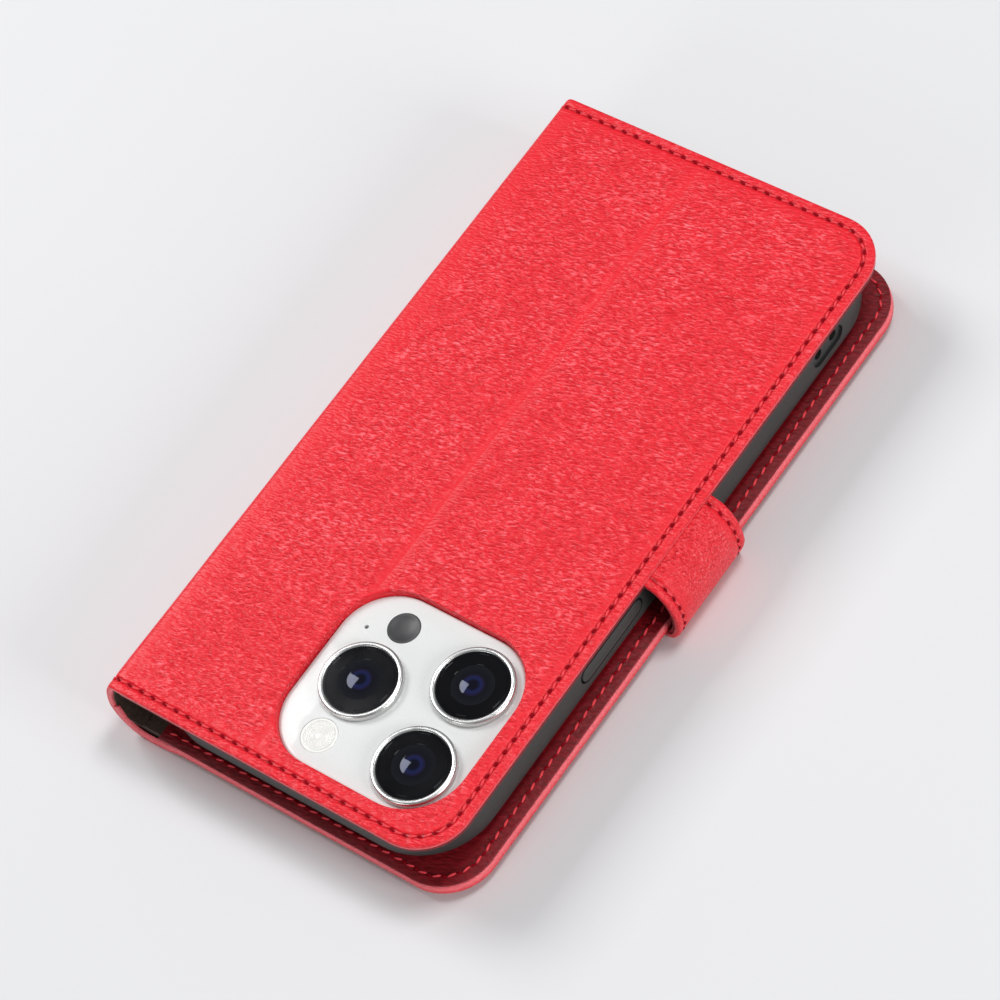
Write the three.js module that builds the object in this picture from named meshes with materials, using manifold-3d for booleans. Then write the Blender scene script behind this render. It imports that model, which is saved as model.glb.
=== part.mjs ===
// A wallet case for a phone: a stitched leather book with a moulded shell glued
// inside its back panel, closed by a magnetic strap, with a phone in the shell.
//
// Millimetres. X runs across the case from the spine (-) to the strap (+), Y along
// it from the camera end (-) to the port end (+), and Z up from the surface that the
// closed case lies on, front cover down. X = 0 and Y = 0 are the middle of the phone.

import * as THREE from 'three';
import { mergeVertices } from 'three/addons/utils/BufferGeometryUtils.js';
import Module from 'manifold-3d';

const wasm = await Module();
wasm.setup();

// ---------------------------------------------------------------- driving sizes

const phone = { width: 72.4, length: 152.8, thickness: 8, corner: 14 };
const plateau = { width: 42.9, length: 40.8, corner: 12, rise: 1.8, fromEdge: 2.3, fromEnd: 1.9 };
const lens = { ringRadius: 8.55, rim: 1.1, ringRise: 1.45, glassRise: 1.2, chamfer: 0.3 };
const pocketDepth = 0.6;

// Places on the camera plateau, measured from its middle.
const lensOffsets = [{ x: -9.5, y: -0.4 }, { x: 11, y: 9.2 }, { x: 11, y: -10.5 }];
const sensorDisc = { x: -9.4, y: 13.5, radius: 3.4 };
const flashDisc = { x: -10.1, y: -13.8, radius: 3.8 };
const microphoneHole = { x: -16.3, y: 10.2, radius: 0.45, depth: 0.8 };

const wall = 1.9;
const shellPlate = 1.1;
const shellLip = 1.5;
const lipOverlap = 1.3;
const phoneClearance = 0.1;
const shellRound = { depth: 2.6, reach: 1.1 };

const leather = 0.8;
const board = 0.55;
const coverBoard = 0.95;
const lining = 0.7;
const pocketSheet = 0.4;
const cashSheet = 0.5;
const glueGap = 0.05;
const shellGlueGap = 0.1;
const coverGap = 0.7;

const endOverhang = 1.7;
const openOverhang = 1.75;
const spineOverhang = 3.25;
const coverReach = 1.4;
const openCorner = 11;
const spineCorner = 2.5;
const hem = 1.1;
const windowCorner = 13;
const windowMargin = 0.5;
const creaseX = -6;
const creaseGap = 1.2;

const seam = { inset: 2.3, width: 0.9, depth: 0.35, thread: 0.5 };
const spineSheet = 0.9;
const spineBulge = 4.1;
const foldGap = 0.3;

// The roll beside the spine, where the front cover's leather bends up to the spine.
const roll = { width: 12, tail: 4, foldInset: 1.8, foldRise: 0.2, liningInset: 2.6 };

const strap = { from: -10.3, to: 13, reach: 5.6, leather: 1.3, lining: 0.65, tab: 24, seamInset: 2 };
const tabCorner = 7;
const magnet = { radius: 6.5, thickness: 0.45 };
const catchMagnet = { radius: 6, clearance: 0.15, fromEdge: 13.5 };

const cardPocket = { count: 3, halfLength: 47, firstMouth: -25, step: 10, openEdgeInset: 5.1 };
const cashMouth = 7.1;

const buttonTravel = 0.3;
const buttonGap = 0.45;
const keyGap = 0.1;
const keyHeight = 2.6;
const keyStand = 0.45;
const keySeat = 1.2;
const keyShare = 0.7;
const buttonHeight = 3.6;
const buttonProud = 0.25;
const buttons = [
  { name: 'power', side: 1, y: -21.2, length: 20 },
  { name: 'action', side: -1, y: -45, length: 7 },
  { name: 'volume_up', side: -1, y: -31, length: 11.5 },
  { name: 'volume_down', side: -1, y: -15, length: 11.5 },
];

const lanyard = {
  y: 55.6,
  length: 10.4,
  height: 4.6,
  recess: 0.7,
  bar: 0.7,
  spacing: 5.2,
  hole: 1.15,
  channel: 8.4,
};
const port = { width: 13, height: 5.6, jackWidth: 9, jackHeight: 3.2, jackDepth: 6.5 };
const grille = { x: 18.5, width: 13, height: 2.6 };

// ------------------------------------------------------- heights, from the table up

const strapThickness = strap.leather + glueGap + strap.lining;
const coverBottom = strapThickness + 0.1;
const coverBoardBottom = coverBottom + leather + glueGap;
const coverLiningBottom = coverBoardBottom + coverBoard + glueGap;
const cashBottom = coverLiningBottom + lining + glueGap;
const cashTop = cashBottom + cashSheet;
const pocketPitch = pocketSheet + glueGap;
const pocketTop = cashTop + cardPocket.count * pocketPitch;
const shellBottom = pocketTop + coverGap;
const phoneBottom = shellBottom + shellLip + phoneClearance;
const phoneTop = phoneBottom + phone.thickness;
const shellTop = phoneTop + phoneClearance + shellPlate;
const backLiningBottom = shellTop + shellGlueGap;
const hemBottom = backLiningBottom + lining + glueGap;
const boardBottom = hemBottom + glueGap;
const backLeatherBottom = boardBottom + board + glueGap;
const caseTop = backLeatherBottom + leather;
const midHeight = (phoneBottom + phoneTop) / 2;

// ------------------------------------------------------------------- plan positions

const phoneX = phone.width / 2;
const phoneY = phone.length / 2;
const shellX = phoneX + phoneClearance + wall;
const shellY = phoneY + phoneClearance + wall;
const endY = shellY + endOverhang;
const openX = shellX + openOverhang;
const spineX = -shellX - spineOverhang;
const coverX = openX + coverReach;
const strapMiddle = (strap.from + strap.to) / 2;

const plateauBox = {
  left: phoneX - plateau.fromEdge - plateau.width,
  right: phoneX - plateau.fromEdge,
  bottom: -phoneY + plateau.fromEnd,
  top: -phoneY + plateau.fromEnd + plateau.length,
};
const plateauTop = phoneTop + plateau.rise;
const cameraX = (plateauBox.left + plateauBox.right) / 2;
const cameraY = (plateauBox.bottom + plateauBox.top) / 2;
const onPlateau = (item) => ({ ...item, x: cameraX + item.x, y: cameraY + item.y });
const lensPlaces = lensOffsets.map(onPlateau);
const sensor = onPlateau(sensorDisc);
const flash = onPlateau(flashDisc);
const microphone = onPlateau(microphoneHole);

// ------------------------------------------------------------------------ materials

function finish(color, roughness, metalness = 0) {
  return new THREE.MeshStandardMaterial({ color, roughness, metalness });
}

const materials = {
  redLeather: finish(0xd8263a, 0.5),
  redLining: finish(0xa81428, 0.6),
  brownLining: finish(0x4a3a30, 0.85),
  thread: finish(0xc01830, 0.6),
  board: finish(0x9a8f80, 0.9),
  foam: finish(0xd8d4cc, 0.9),
  shell: finish(0x55565a, 0.55),
  magnet: finish(0xb8babd, 0.35, 1),
  phoneMetal: finish(0xdcdcd8, 0.3, 0.9),
  phoneGlass: finish(0xe9ebe9, 0.3),
  blackGlass: finish(0x08090c, 0.08),
  flashGlass: finish(0xf1eee4, 0.3),
};

// -------------------------------------------------------------------------- helpers

const roundSegments = 5;

function solid(geometry) {
  const bare = geometry.clone();
  bare.deleteAttribute('normal');
  bare.deleteAttribute('uv');
  const merged = mergeVertices(bare, 1e-4);
  return new wasm.Manifold(new wasm.Mesh({
    numProp: 3,
    vertProperties: new Float32Array(merged.attributes.position.array),
    triVerts: new Uint32Array(merged.index.array),
  }));
}

function geometryOf(manifold) {
  const mesh = manifold.getMesh();
  const geometry = new THREE.BufferGeometry();
  geometry.setAttribute('position', new THREE.BufferAttribute(mesh.vertProperties, 3));
  geometry.setIndex(new THREE.BufferAttribute(mesh.triVerts, 1));
  geometry.computeVertexNormals();
  return geometry;
}

const cut = (body, ...tools) => tools.reduce((left, tool) => left.subtract(solid(tool)), body);

// An outline whose spine-side and open-side corners have their own radii.
function outline(box, leftRadius, rightRadius = leftRadius, Kind = THREE.Shape) {
  const { left, right, bottom, top } = box;
  const shape = new Kind();
  const quarter = Math.PI / 2;
  shape.moveTo(left + leftRadius, bottom);
  shape.lineTo(right - rightRadius, bottom);
  shape.absarc(right - rightRadius, bottom + rightRadius, rightRadius, -quarter, 0);
  shape.lineTo(right, top - rightRadius);
  shape.absarc(right - rightRadius, top - rightRadius, rightRadius, 0, quarter);
  shape.lineTo(left + leftRadius, top);
  shape.absarc(left + leftRadius, top - leftRadius, leftRadius, quarter, 2 * quarter);
  shape.lineTo(left, bottom + leftRadius);
  shape.absarc(left + leftRadius, bottom + leftRadius, leftRadius, 2 * quarter, 3 * quarter);
  shape.closePath();
  return shape;
}

const centred = (x, y, width, height) => ({
  left: x - width / 2,
  right: x + width / 2,
  bottom: y - height / 2,
  top: y + height / 2,
});

const inset = (box, by) => ({
  left: box.left + by,
  right: box.right - by,
  bottom: box.bottom + by,
  top: box.top - by,
});

const rectangle = (box) => new THREE.Shape([
  new THREE.Vector2(box.left, box.bottom),
  new THREE.Vector2(box.right, box.bottom),
  new THREE.Vector2(box.right, box.top),
  new THREE.Vector2(box.left, box.top),
]);

const stadium = (x, y, width, height) => outline(
  centred(x, y, width, height),
  Math.min(width, height) * 0.499,
);

const prism = (shape, depth) => new THREE.ExtrudeGeometry(shape, {
  depth,
  bevelEnabled: false,
  curveSegments: roundSegments,
});

// Three ways to extrude an outline: upwards, along the case, and across it.
const slab = (shape, from, to) => prism(shape, to - from).translate(0, 0, from);
const lengthwise = (shape, from, to) => prism(shape, to - from)
  .rotateX(Math.PI / 2).translate(0, to, 0);
const crosswise = (shape, from, to) => prism(shape, to - from)
  .applyMatrix4(new THREE.Matrix4().makeBasis(
    new THREE.Vector3(0, 1, 0),
    new THREE.Vector3(0, 0, 1),
    new THREE.Vector3(1, 0, 0),
  )).translate(from, 0, 0);

const post = (x, y, radius, from, to) => {
  const geometry = new THREE.CylinderGeometry(radius, radius, to - from, 24);
  return geometry.rotateX(Math.PI / 2).translate(x, y, (from + to) / 2);
};

// The closed outline between two depths inside a curve; side says which way is in.
function ribbon(curve, side, outer, inner, steps = 20, span = [0, 1]) {
  const offset = (distance) => {
    const row = [];
    for (let step = 0; step <= steps; step += 1) {
      const share = span[0] + (span[1] - span[0]) * step / steps;
      const at = curve.getPointAt(share);
      const along = curve.getTangentAt(share);
      row.push(new THREE.Vector2(
        at.x - along.y * distance * side,
        at.y + along.x * distance * side,
      ));
    }
    return row;
  };
  return new THREE.Shape([...offset(outer), ...offset(inner).reverse()]);
}

// A stripe that follows three sides of a panel, open at the spine.
function seamStripe(box, corner, from, distance, width) {
  const outer = distance - width / 2;
  const inner = distance + width / 2;
  const shape = new THREE.Shape();
  const quarter = Math.PI / 2;
  const middleX = box.right - corner;
  const low = box.bottom + corner;
  const high = box.top - corner;
  shape.moveTo(from, box.bottom + outer);
  shape.lineTo(middleX, box.bottom + outer);
  shape.absarc(middleX, low, corner - outer, -quarter, 0);
  shape.absarc(middleX, high, corner - outer, 0, quarter);
  shape.lineTo(from, box.top - outer);
  shape.lineTo(from, box.top - inner);
  shape.absarc(middleX, high, corner - inner, quarter, 0, true);
  shape.absarc(middleX, low, corner - inner, 0, -quarter, true);
  shape.lineTo(from, box.bottom + inner);
  shape.closePath();
  return shape;
}

const walletCase = new THREE.Group();

function add(name, geometry, material) {
  const mesh = new THREE.Mesh(geometry, material);
  mesh.name = name;
  walletCase.add(mesh);
}

const addSolid = (name, manifold, material) => add(name, geometryOf(manifold), material);

// ------------------------------------------------------------------------ back panel

const backBox = { left: spineX, right: openX, bottom: -endY, top: endY };
const windowBox = inset(plateauBox, -windowMargin);
const windowPath = (by) => outline(
  inset(windowBox, by),
  windowCorner - by,
  windowCorner - by,
  THREE.Path,
);

// The outer skin: its turned hem runs round the board and round the camera window.
function makeBackLeather() {
  const sheet = outline(backBox, spineCorner, openCorner);
  sheet.holes.push(windowPath(0));
  const space = outline(inset(backBox, hem), spineCorner, openCorner - hem);
  space.holes.push(windowPath(-hem));
  const stripe = seamStripe(backBox, openCorner, spineX + hem, seam.inset, seam.width);
  const mouth = rectangle({
    left: openX - 2 * hem,
    right: openX + hem,
    bottom: strap.from - foldGap,
    top: strap.to + foldGap,
  });
  const crease = new THREE.Shape([
    new THREE.Vector2(creaseX - creaseGap / 2, caseTop + glueGap),
    new THREE.Vector2(creaseX, caseTop - seam.depth),
    new THREE.Vector2(creaseX + creaseGap / 2, caseTop + glueGap),
  ]);
  return cut(
    solid(slab(sheet, hemBottom, caseTop)),
    slab(space, hemBottom - glueGap, backLeatherBottom),
    slab(stripe, caseTop - seam.depth, caseTop + glueGap),
    slab(mouth, hemBottom - glueGap, hemBottom + glueGap),
    lengthwise(crease, -endY + seam.inset * 2, endY - seam.inset * 2),
  );
}

// Two stiff boards, apart at the crease so that the flap can stand the phone up.
function boardHalf(left, right, leftRadius, rightRadius) {
  const space = inset(backBox, hem + glueGap * 3);
  const shape = outline({ ...space, left, right }, leftRadius, rightRadius);
  return cut(
    solid(slab(shape, boardBottom, boardBottom + board)),
    slab(outline(inset(windowBox, -hem - glueGap * 3), windowCorner + hem), 0, caseTop),
  );
}

function makeBackLining() {
  const shape = outline(inset(backBox, glueGap * 3), spineCorner, openCorner);
  shape.holes.push(windowPath(0));
  const notch = rectangle({
    left: openX - strap.tab / 2,
    right: openX + hem,
    bottom: strap.from - foldGap,
    top: strap.to + foldGap,
  });
  return cut(
    solid(slab(shape, backLiningBottom, backLiningBottom + lining)),
    slab(notch, 0, caseTop),
  );
}

const boardEdge = hem + glueGap * 3;
addSolid('back_leather', makeBackLeather(), materials.redLeather);
addSolid(
  'back_board_flap',
  boardHalf(spineX + boardEdge, creaseX - creaseGap / 2, spineCorner, spineCorner),
  materials.board,
);
addSolid(
  'back_board_fixed',
  boardHalf(creaseX + creaseGap / 2, openX - boardEdge, spineCorner, openCorner - boardEdge),
  materials.board,
);
addSolid('back_lining', makeBackLining(), materials.redLining);
add('back_stitching', slab(
  seamStripe(backBox, openCorner, spineX + hem * 2, seam.inset, seam.thread),
  caseTop - seam.depth + glueGap,
  caseTop,
), materials.thread);

// ----------------------------------------------------------------------- phone shell

const slotHeight = buttonHeight + 2 * buttonGap;

function makeShell() {
  const body = new THREE.ExtrudeGeometry(
    outline(centred(0, 0, 2 * shellX, 2 * shellY), phone.corner + wall),
    {
      depth: shellTop - shellBottom - 2 * shellRound.depth,
      bevelThickness: shellRound.depth,
      bevelSize: shellRound.reach,
      bevelOffset: -shellRound.reach,
      bevelSegments: 3,
      curveSegments: roundSegments,
    },
  ).translate(0, 0, shellBottom + shellRound.depth);
  const room = outline(
    centred(0, 0, 2 * (phoneX + phoneClearance), 2 * (phoneY + phoneClearance)),
    phone.corner,
  );
  const screen = outline(
    centred(0, 0, 2 * (phoneX - lipOverlap), 2 * (phoneY - lipOverlap)),
    phone.corner - lipOverlap,
  );
  const camera = outline(inset(plateauBox, -windowMargin / 2), plateau.corner);
  let shell = cut(
    solid(body),
    slab(room, phoneBottom - phoneClearance, phoneTop + phoneClearance),
    slab(screen, 0, phoneBottom),
    slab(camera, phoneTop, caseTop),
  );
  for (const button of buttons) {
    const slot = stadium(button.y, midHeight, button.length + 2 * buttonGap, slotHeight);
    const near = button.side > 0 ? phoneX : -shellX - wall;
    shell = cut(shell, crosswise(slot, near, near + 2 * wall));
  }
  const bars = [];
  for (const side of [-1, 1]) {
    const y = lanyard.y + side * lanyard.spacing / 2;
    const eye = new THREE.CylinderGeometry(lanyard.hole, lanyard.hole, 2 * wall, 16);
    bars.push(eye.rotateZ(Math.PI / 2).translate(shellX, y, midHeight));
  }
  const dish = stadium(lanyard.y, midHeight, lanyard.length, lanyard.height);
  const channel = stadium(lanyard.y, midHeight, lanyard.channel, lanyard.hole * 2);
  const portHole = stadium(0, midHeight, port.width, port.height);
  const grilles = [-1, 1].map((side) => lengthwise(
    stadium(side * grille.x, midHeight, grille.width, grille.height),
    phoneY,
    shellY + wall,
  ));
  return cut(
    shell,
    ...bars,
    crosswise(dish, shellX - lanyard.recess, shellX + wall),
    crosswise(channel, phoneX, shellX - lanyard.recess - lanyard.bar),
    lengthwise(portHole, phoneY, shellY + wall),
    ...grilles,
  );
}

addSolid('phone_shell', makeShell(), materials.shell);

// Each flexing pad of the shell presses the phone's own key behind it.
for (const button of buttons) {
  const padInner = phoneX + keyStand + keyGap;
  const padOuter = shellX + buttonProud;
  const pad = stadium(button.y, midHeight, button.length, buttonHeight);
  const key = stadium(button.y, midHeight, button.length * keyShare, keyHeight);
  const keyInner = phoneX - keySeat + buttonTravel + keyGap;
  const keyOuter = phoneX + keyStand;
  const place = (inner, outer) => (button.side > 0 ? [inner, outer] : [-outer, -inner]);
  add(`${button.name}_button`, crosswise(pad, ...place(padInner, padOuter)), materials.shell);
  add(`${button.name}_key`, crosswise(key, ...place(keyInner, keyOuter)), materials.phoneMetal);
}

// ----------------------------------------------------------------------------- phone

const glassSheet = 0.7;

function makePhoneFrame() {
  const shape = outline(centred(0, 0, phone.width, phone.length), phone.corner);
  let frame = solid(slab(
    shape,
    phoneBottom + glassSheet + glueGap,
    phoneTop - glassSheet - glueGap,
  ));
  for (const button of buttons) {
    const seatLength = button.length * keyShare + 2 * keyGap;
    const seat = stadium(button.y, midHeight, seatLength, keyHeight + 2 * keyGap);
    const near = button.side > 0 ? phoneX - keySeat : -phoneX - wall;
    frame = cut(frame, crosswise(seat, near, near + keySeat + wall));
  }
  const jack = stadium(0, midHeight, port.jackWidth, port.jackHeight);
  return cut(frame, lengthwise(jack, phoneY - port.jackDepth, phoneY + wall));
}

function makePlateau() {
  const body = new THREE.ExtrudeGeometry(outline(plateauBox, plateau.corner), {
    depth: plateau.rise - glueGap - pocketDepth,
    bevelThickness: pocketDepth,
    bevelSize: pocketDepth,
    bevelOffset: -pocketDepth,
    bevelSegments: 2,
    curveSegments: roundSegments,
  }).translate(0, 0, phoneTop + glueGap);
  const below = slab(rectangle(inset(plateauBox, -wall)), phoneTop - wall, phoneTop + glueGap);
  const windows = [sensor, flash].map(({ x, y, radius }) => post(
    x,
    y,
    radius + glueGap,
    plateauTop - pocketDepth,
    caseTop,
  ));
  const { x, y, radius, depth } = microphone;
  return cut(solid(body), below, ...windows, post(x, y, radius, plateauTop - depth, caseTop));
}

const phoneOutline = outline(
  inset(centred(0, 0, phone.width, phone.length), glueGap),
  phone.corner - glueGap,
);
addSolid('phone_frame', makePhoneFrame(), materials.phoneMetal);
const phoneSheet = (from) => slab(phoneOutline, from, from + glassSheet);
add('phone_back_glass', phoneSheet(phoneTop - glassSheet), materials.phoneGlass);
add('phone_screen', phoneSheet(phoneBottom), materials.blackGlass);
addSolid('camera_plateau', makePlateau(), materials.phoneGlass);

const glassRadius = lens.ringRadius - lens.rim;
const ringProfile = [
  new THREE.Vector2(glassRadius + glueGap, 0),
  new THREE.Vector2(lens.ringRadius, 0),
  new THREE.Vector2(lens.ringRadius, lens.ringRise - lens.chamfer),
  new THREE.Vector2(lens.ringRadius - lens.chamfer, lens.ringRise),
  new THREE.Vector2(glassRadius + glueGap, lens.ringRise),
  new THREE.Vector2(glassRadius + glueGap, 0),
];
lensPlaces.forEach(({ x, y }, index) => {
  const seat = plateauTop + glueGap;
  const ring = new THREE.LatheGeometry(ringProfile, 32).rotateX(Math.PI / 2).translate(x, y, seat);
  add(`lens_ring_${index + 1}`, ring, materials.phoneMetal);
  add(
    `lens_glass_${index + 1}`,
    post(x, y, glassRadius, seat, seat + lens.glassRise),
    materials.blackGlass,
  );
});
const windowFloor = plateauTop - pocketDepth + glueGap;
const disc = ({ x, y, radius }) => post(x, y, radius, windowFloor, plateauTop);
add('depth_sensor', disc(sensor), materials.blackGlass);
add('flash_window', disc(flash), materials.flashGlass);

// ----------------------------------------------------------------------------- spine

// Outer curve of the spine, from the back panel's corner down to the cover fold.
const coverFold = new THREE.Vector2(spineX - roll.foldInset, coverBottom + roll.foldRise);
const spineCurve = new THREE.SplineCurve([
  new THREE.Vector2(spineX - foldGap, caseTop - glueGap),
  new THREE.Vector2(spineX - spineBulge * 0.55, caseTop * 0.8),
  new THREE.Vector2(spineX - spineBulge * 0.85, caseTop * 0.62),
  new THREE.Vector2(spineX - spineBulge, caseTop * 0.45),
  new THREE.Vector2(spineX - spineBulge * 0.9, caseTop * 0.28),
  new THREE.Vector2(coverFold.x - 0.15, coverFold.y + foldGap),
]);
const panelSpace = rectangle({
  left: spineX - foldGap,
  right: 0,
  bottom: backLiningBottom - foldGap,
  top: caseTop + wall,
});
const spineLayer = (outer, inner) => cut(
  solid(lengthwise(ribbon(spineCurve, 1, outer, inner), -endY, endY)),
  lengthwise(panelSpace, -endY - wall, endY + wall),
);
addSolid('spine_leather', spineLayer(0, spineSheet), materials.redLeather);
addSolid('spine_lining', spineLayer(spineSheet + glueGap, 2 * spineSheet), materials.brownLining);

// ----------------------------------------------------------------------- front cover

const coverBox = { left: spineX + roll.width, right: coverX, bottom: -endY, top: endY };
const rollEnd = coverBox.left + roll.tail;

// Outer curve of the cover where it rolls up to meet the spine.
const rollCurve = new THREE.SplineCurve([
  new THREE.Vector2(coverFold.x + 0.15, coverFold.y - foldGap),
  new THREE.Vector2(spineX - 0.2, 0.75),
  new THREE.Vector2(spineX + 2.2, 0.16),
  new THREE.Vector2(spineX + 5, 0.04),
  new THREE.Vector2(spineX + 8.6, 0.66),
  new THREE.Vector2(coverBox.left, coverBottom - 0.25),
  new THREE.Vector2(rollEnd, coverBottom),
]);

function makeCoverLeather() {
  const sheet = outline(coverBox, 0.01, openCorner);
  const board = { ...inset(coverBox, hem), left: 2 * spineX };
  const stripe = seamStripe(coverBox, openCorner, rollEnd + hem, seam.inset, seam.width);
  const flat = cut(
    solid(slab(sheet, coverBottom, coverLiningBottom - glueGap)),
    slab(outline(board, 0.01, openCorner - hem), coverBottom + leather, caseTop),
    slab(stripe, 0, coverBottom + seam.depth),
  );
  return flat.add(solid(lengthwise(ribbon(rollCurve, 1, 0, leather), -endY, endY)));
}

// A soft filler gives the roll beside the spine its thickness.
function makeCoverPadding() {
  const depth = leather + 2 * glueGap;
  const top = coverLiningBottom - glueGap;
  const right = coverBox.left - foldGap;
  const underside = rollCurve.getSpacedPoints(24).map((at, index) => {
    const along = rollCurve.getTangentAt(index / 24);
    return new THREE.Vector2(at.x - along.y * depth, at.y + along.x * depth);
  }).filter(({ x, y }) => x > liningLeft && x < right && y < top - foldGap);
  const corners = [new THREE.Vector2(right, top), new THREE.Vector2(liningLeft, top)];
  return lengthwise(new THREE.Shape([...underside, ...corners]), -endY + hem, endY - hem);
}

function makeCoverBoard() {
  const box = { ...inset(coverBox, boardEdge), left: rollEnd + foldGap };
  const hole = catchMagnet.radius + catchMagnet.clearance;
  return cut(
    solid(slab(
      outline(box, spineCorner, openCorner - boardEdge),
      coverBoardBottom,
      coverBoardBottom + coverBoard,
    )),
    post(catchX, strapMiddle, hole, 0, caseTop),
  );
}

const liningLeft = coverFold.x + roll.liningInset;
const catchX = coverX - catchMagnet.fromEdge;
addSolid('cover_leather', makeCoverLeather(), materials.redLeather);
add('cover_padding', makeCoverPadding(), materials.foam);
addSolid('cover_board', makeCoverBoard(), materials.board);
add('cover_catch_magnet', post(
  catchX,
  strapMiddle,
  catchMagnet.radius,
  coverBoardBottom,
  coverBoardBottom + coverBoard,
), materials.magnet);
add('cover_lining', slab(
  outline({ ...inset(coverBox, glueGap * 3), left: liningLeft }, 0.01, openCorner),
  coverLiningBottom,
  coverLiningBottom + lining,
), materials.brownLining);
add('cover_stitching', slab(
  seamStripe(coverBox, openCorner, rollEnd + 2 * hem, seam.inset, seam.thread),
  coverBottom,
  coverBottom + seam.depth - glueGap,
), materials.thread);

// The cash pocket is a full sheet sewn on three sides, and its mouth faces the spine.
const pocketBox = { ...inset(coverBox, glueGap * 3), left: spineX + cashMouth };
const cashSheetOutline = outline(pocketBox, 0.01, openCorner);
add('cash_pocket', slab(cashSheetOutline, cashBottom, cashTop), materials.redLining);
add('cash_pocket_stitching', slab(
  seamStripe(coverBox, openCorner, pocketBox.left + hem, seam.inset, seam.thread),
  cashTop + glueGap,
  cashTop + glueGap + seam.thread / 2,
), materials.thread);

const cardRight = coverX - cardPocket.openEdgeInset;
const cardPockets = [];
for (let index = 0; index < cardPocket.count; index += 1) {
  const bottom = cashTop + glueGap + index * pocketPitch;
  const left = cardPocket.firstMouth + index * cardPocket.step;
  const { halfLength } = cardPocket;
  const sheet = rectangle({ left, right: cardRight, bottom: -halfLength, top: halfLength });
  add(`card_pocket_${index + 1}`, slab(sheet, bottom, bottom + pocketSheet), materials.redLeather);
  cardPockets.push({ left, top: bottom + pocketPitch });
}

// The thread on each side of the card pockets climbs over their mouths in turn.
function pocketThread(height) {
  const stairs = (out) => cardPockets.flatMap(({ left, top }, index) => {
    const next = cardPockets[index + 1];
    const start = index === 0 ? left + hem : left - glueGap * 2 - out;
    const end = next ? next.left - glueGap * 2 - out : cardRight - hem;
    return [new THREE.Vector2(start, top + out), new THREE.Vector2(end, top + out)];
  });
  return new THREE.Shape([...stairs(0), ...stairs(height).reverse()]);
}

const pocketSeam = cardPocket.halfLength - hem;
for (const [side, y] of [['near', -pocketSeam], ['far', pocketSeam - seam.thread]]) {
  const thread = lengthwise(pocketThread(seam.thread / 2), y, y + seam.thread);
  add(`card_pocket_stitching_${side}`, thread, materials.thread);
}

// ----------------------------------------------------------------------------- strap

// Outer curve of the strap round the open edge, in two pieces that meet at its fold.
const strapX = openX + strap.reach;
const strapRoot = new THREE.Vector2(openX + 0.15, backLiningBottom + lining);
const tabFold = new THREE.Vector2(strapX - 1.25, coverBottom + 1.4);
const sideCurve = new THREE.SplineCurve([
  strapRoot,
  new THREE.Vector2(openX + strap.reach * 0.48, strapRoot.y - 1.5),
  new THREE.Vector2(openX + strap.reach * 0.82, strapRoot.y - 4.4),
  new THREE.Vector2(strapX, midHeight - 2),
  new THREE.Vector2(strapX - 0.35, coverBottom + 3.8),
  new THREE.Vector2(tabFold.x + 0.1, tabFold.y + 0.2),
]);
const tabEnd = coverX - strap.tab;
const tabCurve = new THREE.SplineCurve([
  new THREE.Vector2(tabFold.x - 0.1, tabFold.y - 0.2),
  new THREE.Vector2(coverX + 2.4, 1.75),
  new THREE.Vector2(coverX + 1.5, 0.5),
  new THREE.Vector2(coverX - 0.2, 0.03),
  new THREE.Vector2(coverX - 2, 0),
  new THREE.Vector2(coverX - 5, 0),
  new THREE.Vector2(tabEnd, 0),
]);
const liningDepth = strap.leather + glueGap;
const strapSeams = [strap.from + strap.seamInset, strap.to - strap.seamInset];
const sideSteps = 12;
const tabSteps = 32;
const sideSeam = { groove: [0.03, 0.97], thread: [0.05, 0.95] };
const tabSeam = { groove: [0.02, 0.74], thread: [0.03, 0.73] };
const band = (curve, from, to, outer, inner, steps, span) => lengthwise(
  ribbon(curve, -1, outer, inner, steps, span),
  from,
  to,
);
const grooves = (curve, steps, { groove }) => strapSeams.map((middle) => band(
  curve,
  middle - seam.width / 2,
  middle + seam.width / 2,
  -glueGap,
  seam.depth,
  steps,
  groove,
));
function addThreads(name, curve, steps, { thread }) {
  ['near', 'far'].forEach((side, index) => {
    const from = strapSeams[index] - seam.thread / 2;
    const depths = [glueGap, seam.depth - 2 * glueGap];
    const geometry = band(curve, from, from + seam.thread, ...depths, steps, thread);
    add(`${name}_${side}`, geometry, materials.thread);
  });
}

// The root lies in a notch of the back lining, between the leather and the shell.
const belowPanel = rectangle({
  left: openX - wall,
  right: openX + 0.1,
  bottom: shellBottom,
  top: caseTop,
});
add('strap_root', slab(
  rectangle({
    left: openX - strap.tab / 2 + foldGap,
    right: openX - foldGap / 2,
    bottom: strap.from,
    top: strap.to,
  }),
  backLiningBottom,
  backLiningBottom + lining,
), materials.redLeather);
const trim = lengthwise(belowPanel, strap.from - wall, strap.to + wall);
addSolid('strap_side_leather', cut(
  solid(band(sideCurve, strap.from, strap.to, 0, strap.leather, sideSteps)),
  trim,
  ...grooves(sideCurve, sideSteps, sideSeam),
), materials.redLeather);
addSolid('strap_side_lining', cut(
  solid(band(sideCurve, strap.from, strap.to, liningDepth, strapThickness, sideSteps)),
  trim,
), materials.redLining);
addThreads('strap_stitching', sideCurve, sideSteps, sideSeam);

// The tab is round-ended and holds a flat magnet between its two sheets.
const tabOutline = slab(
  outline({ left: tabEnd, right: strapX, bottom: strap.from, top: strap.to }, tabCorner, 0.01),
  -wall,
  strapRoot.y,
);
const magnetPocket = post(
  catchX,
  strapMiddle,
  magnet.radius + catchMagnet.clearance,
  strap.leather - magnet.thickness - 2 * glueGap,
  caseTop,
);
const tabSheet = (outer, inner) => solid(
  band(tabCurve, strap.from - 1, strap.to + 1, outer, inner, tabSteps),
).intersect(solid(tabOutline));

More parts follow.
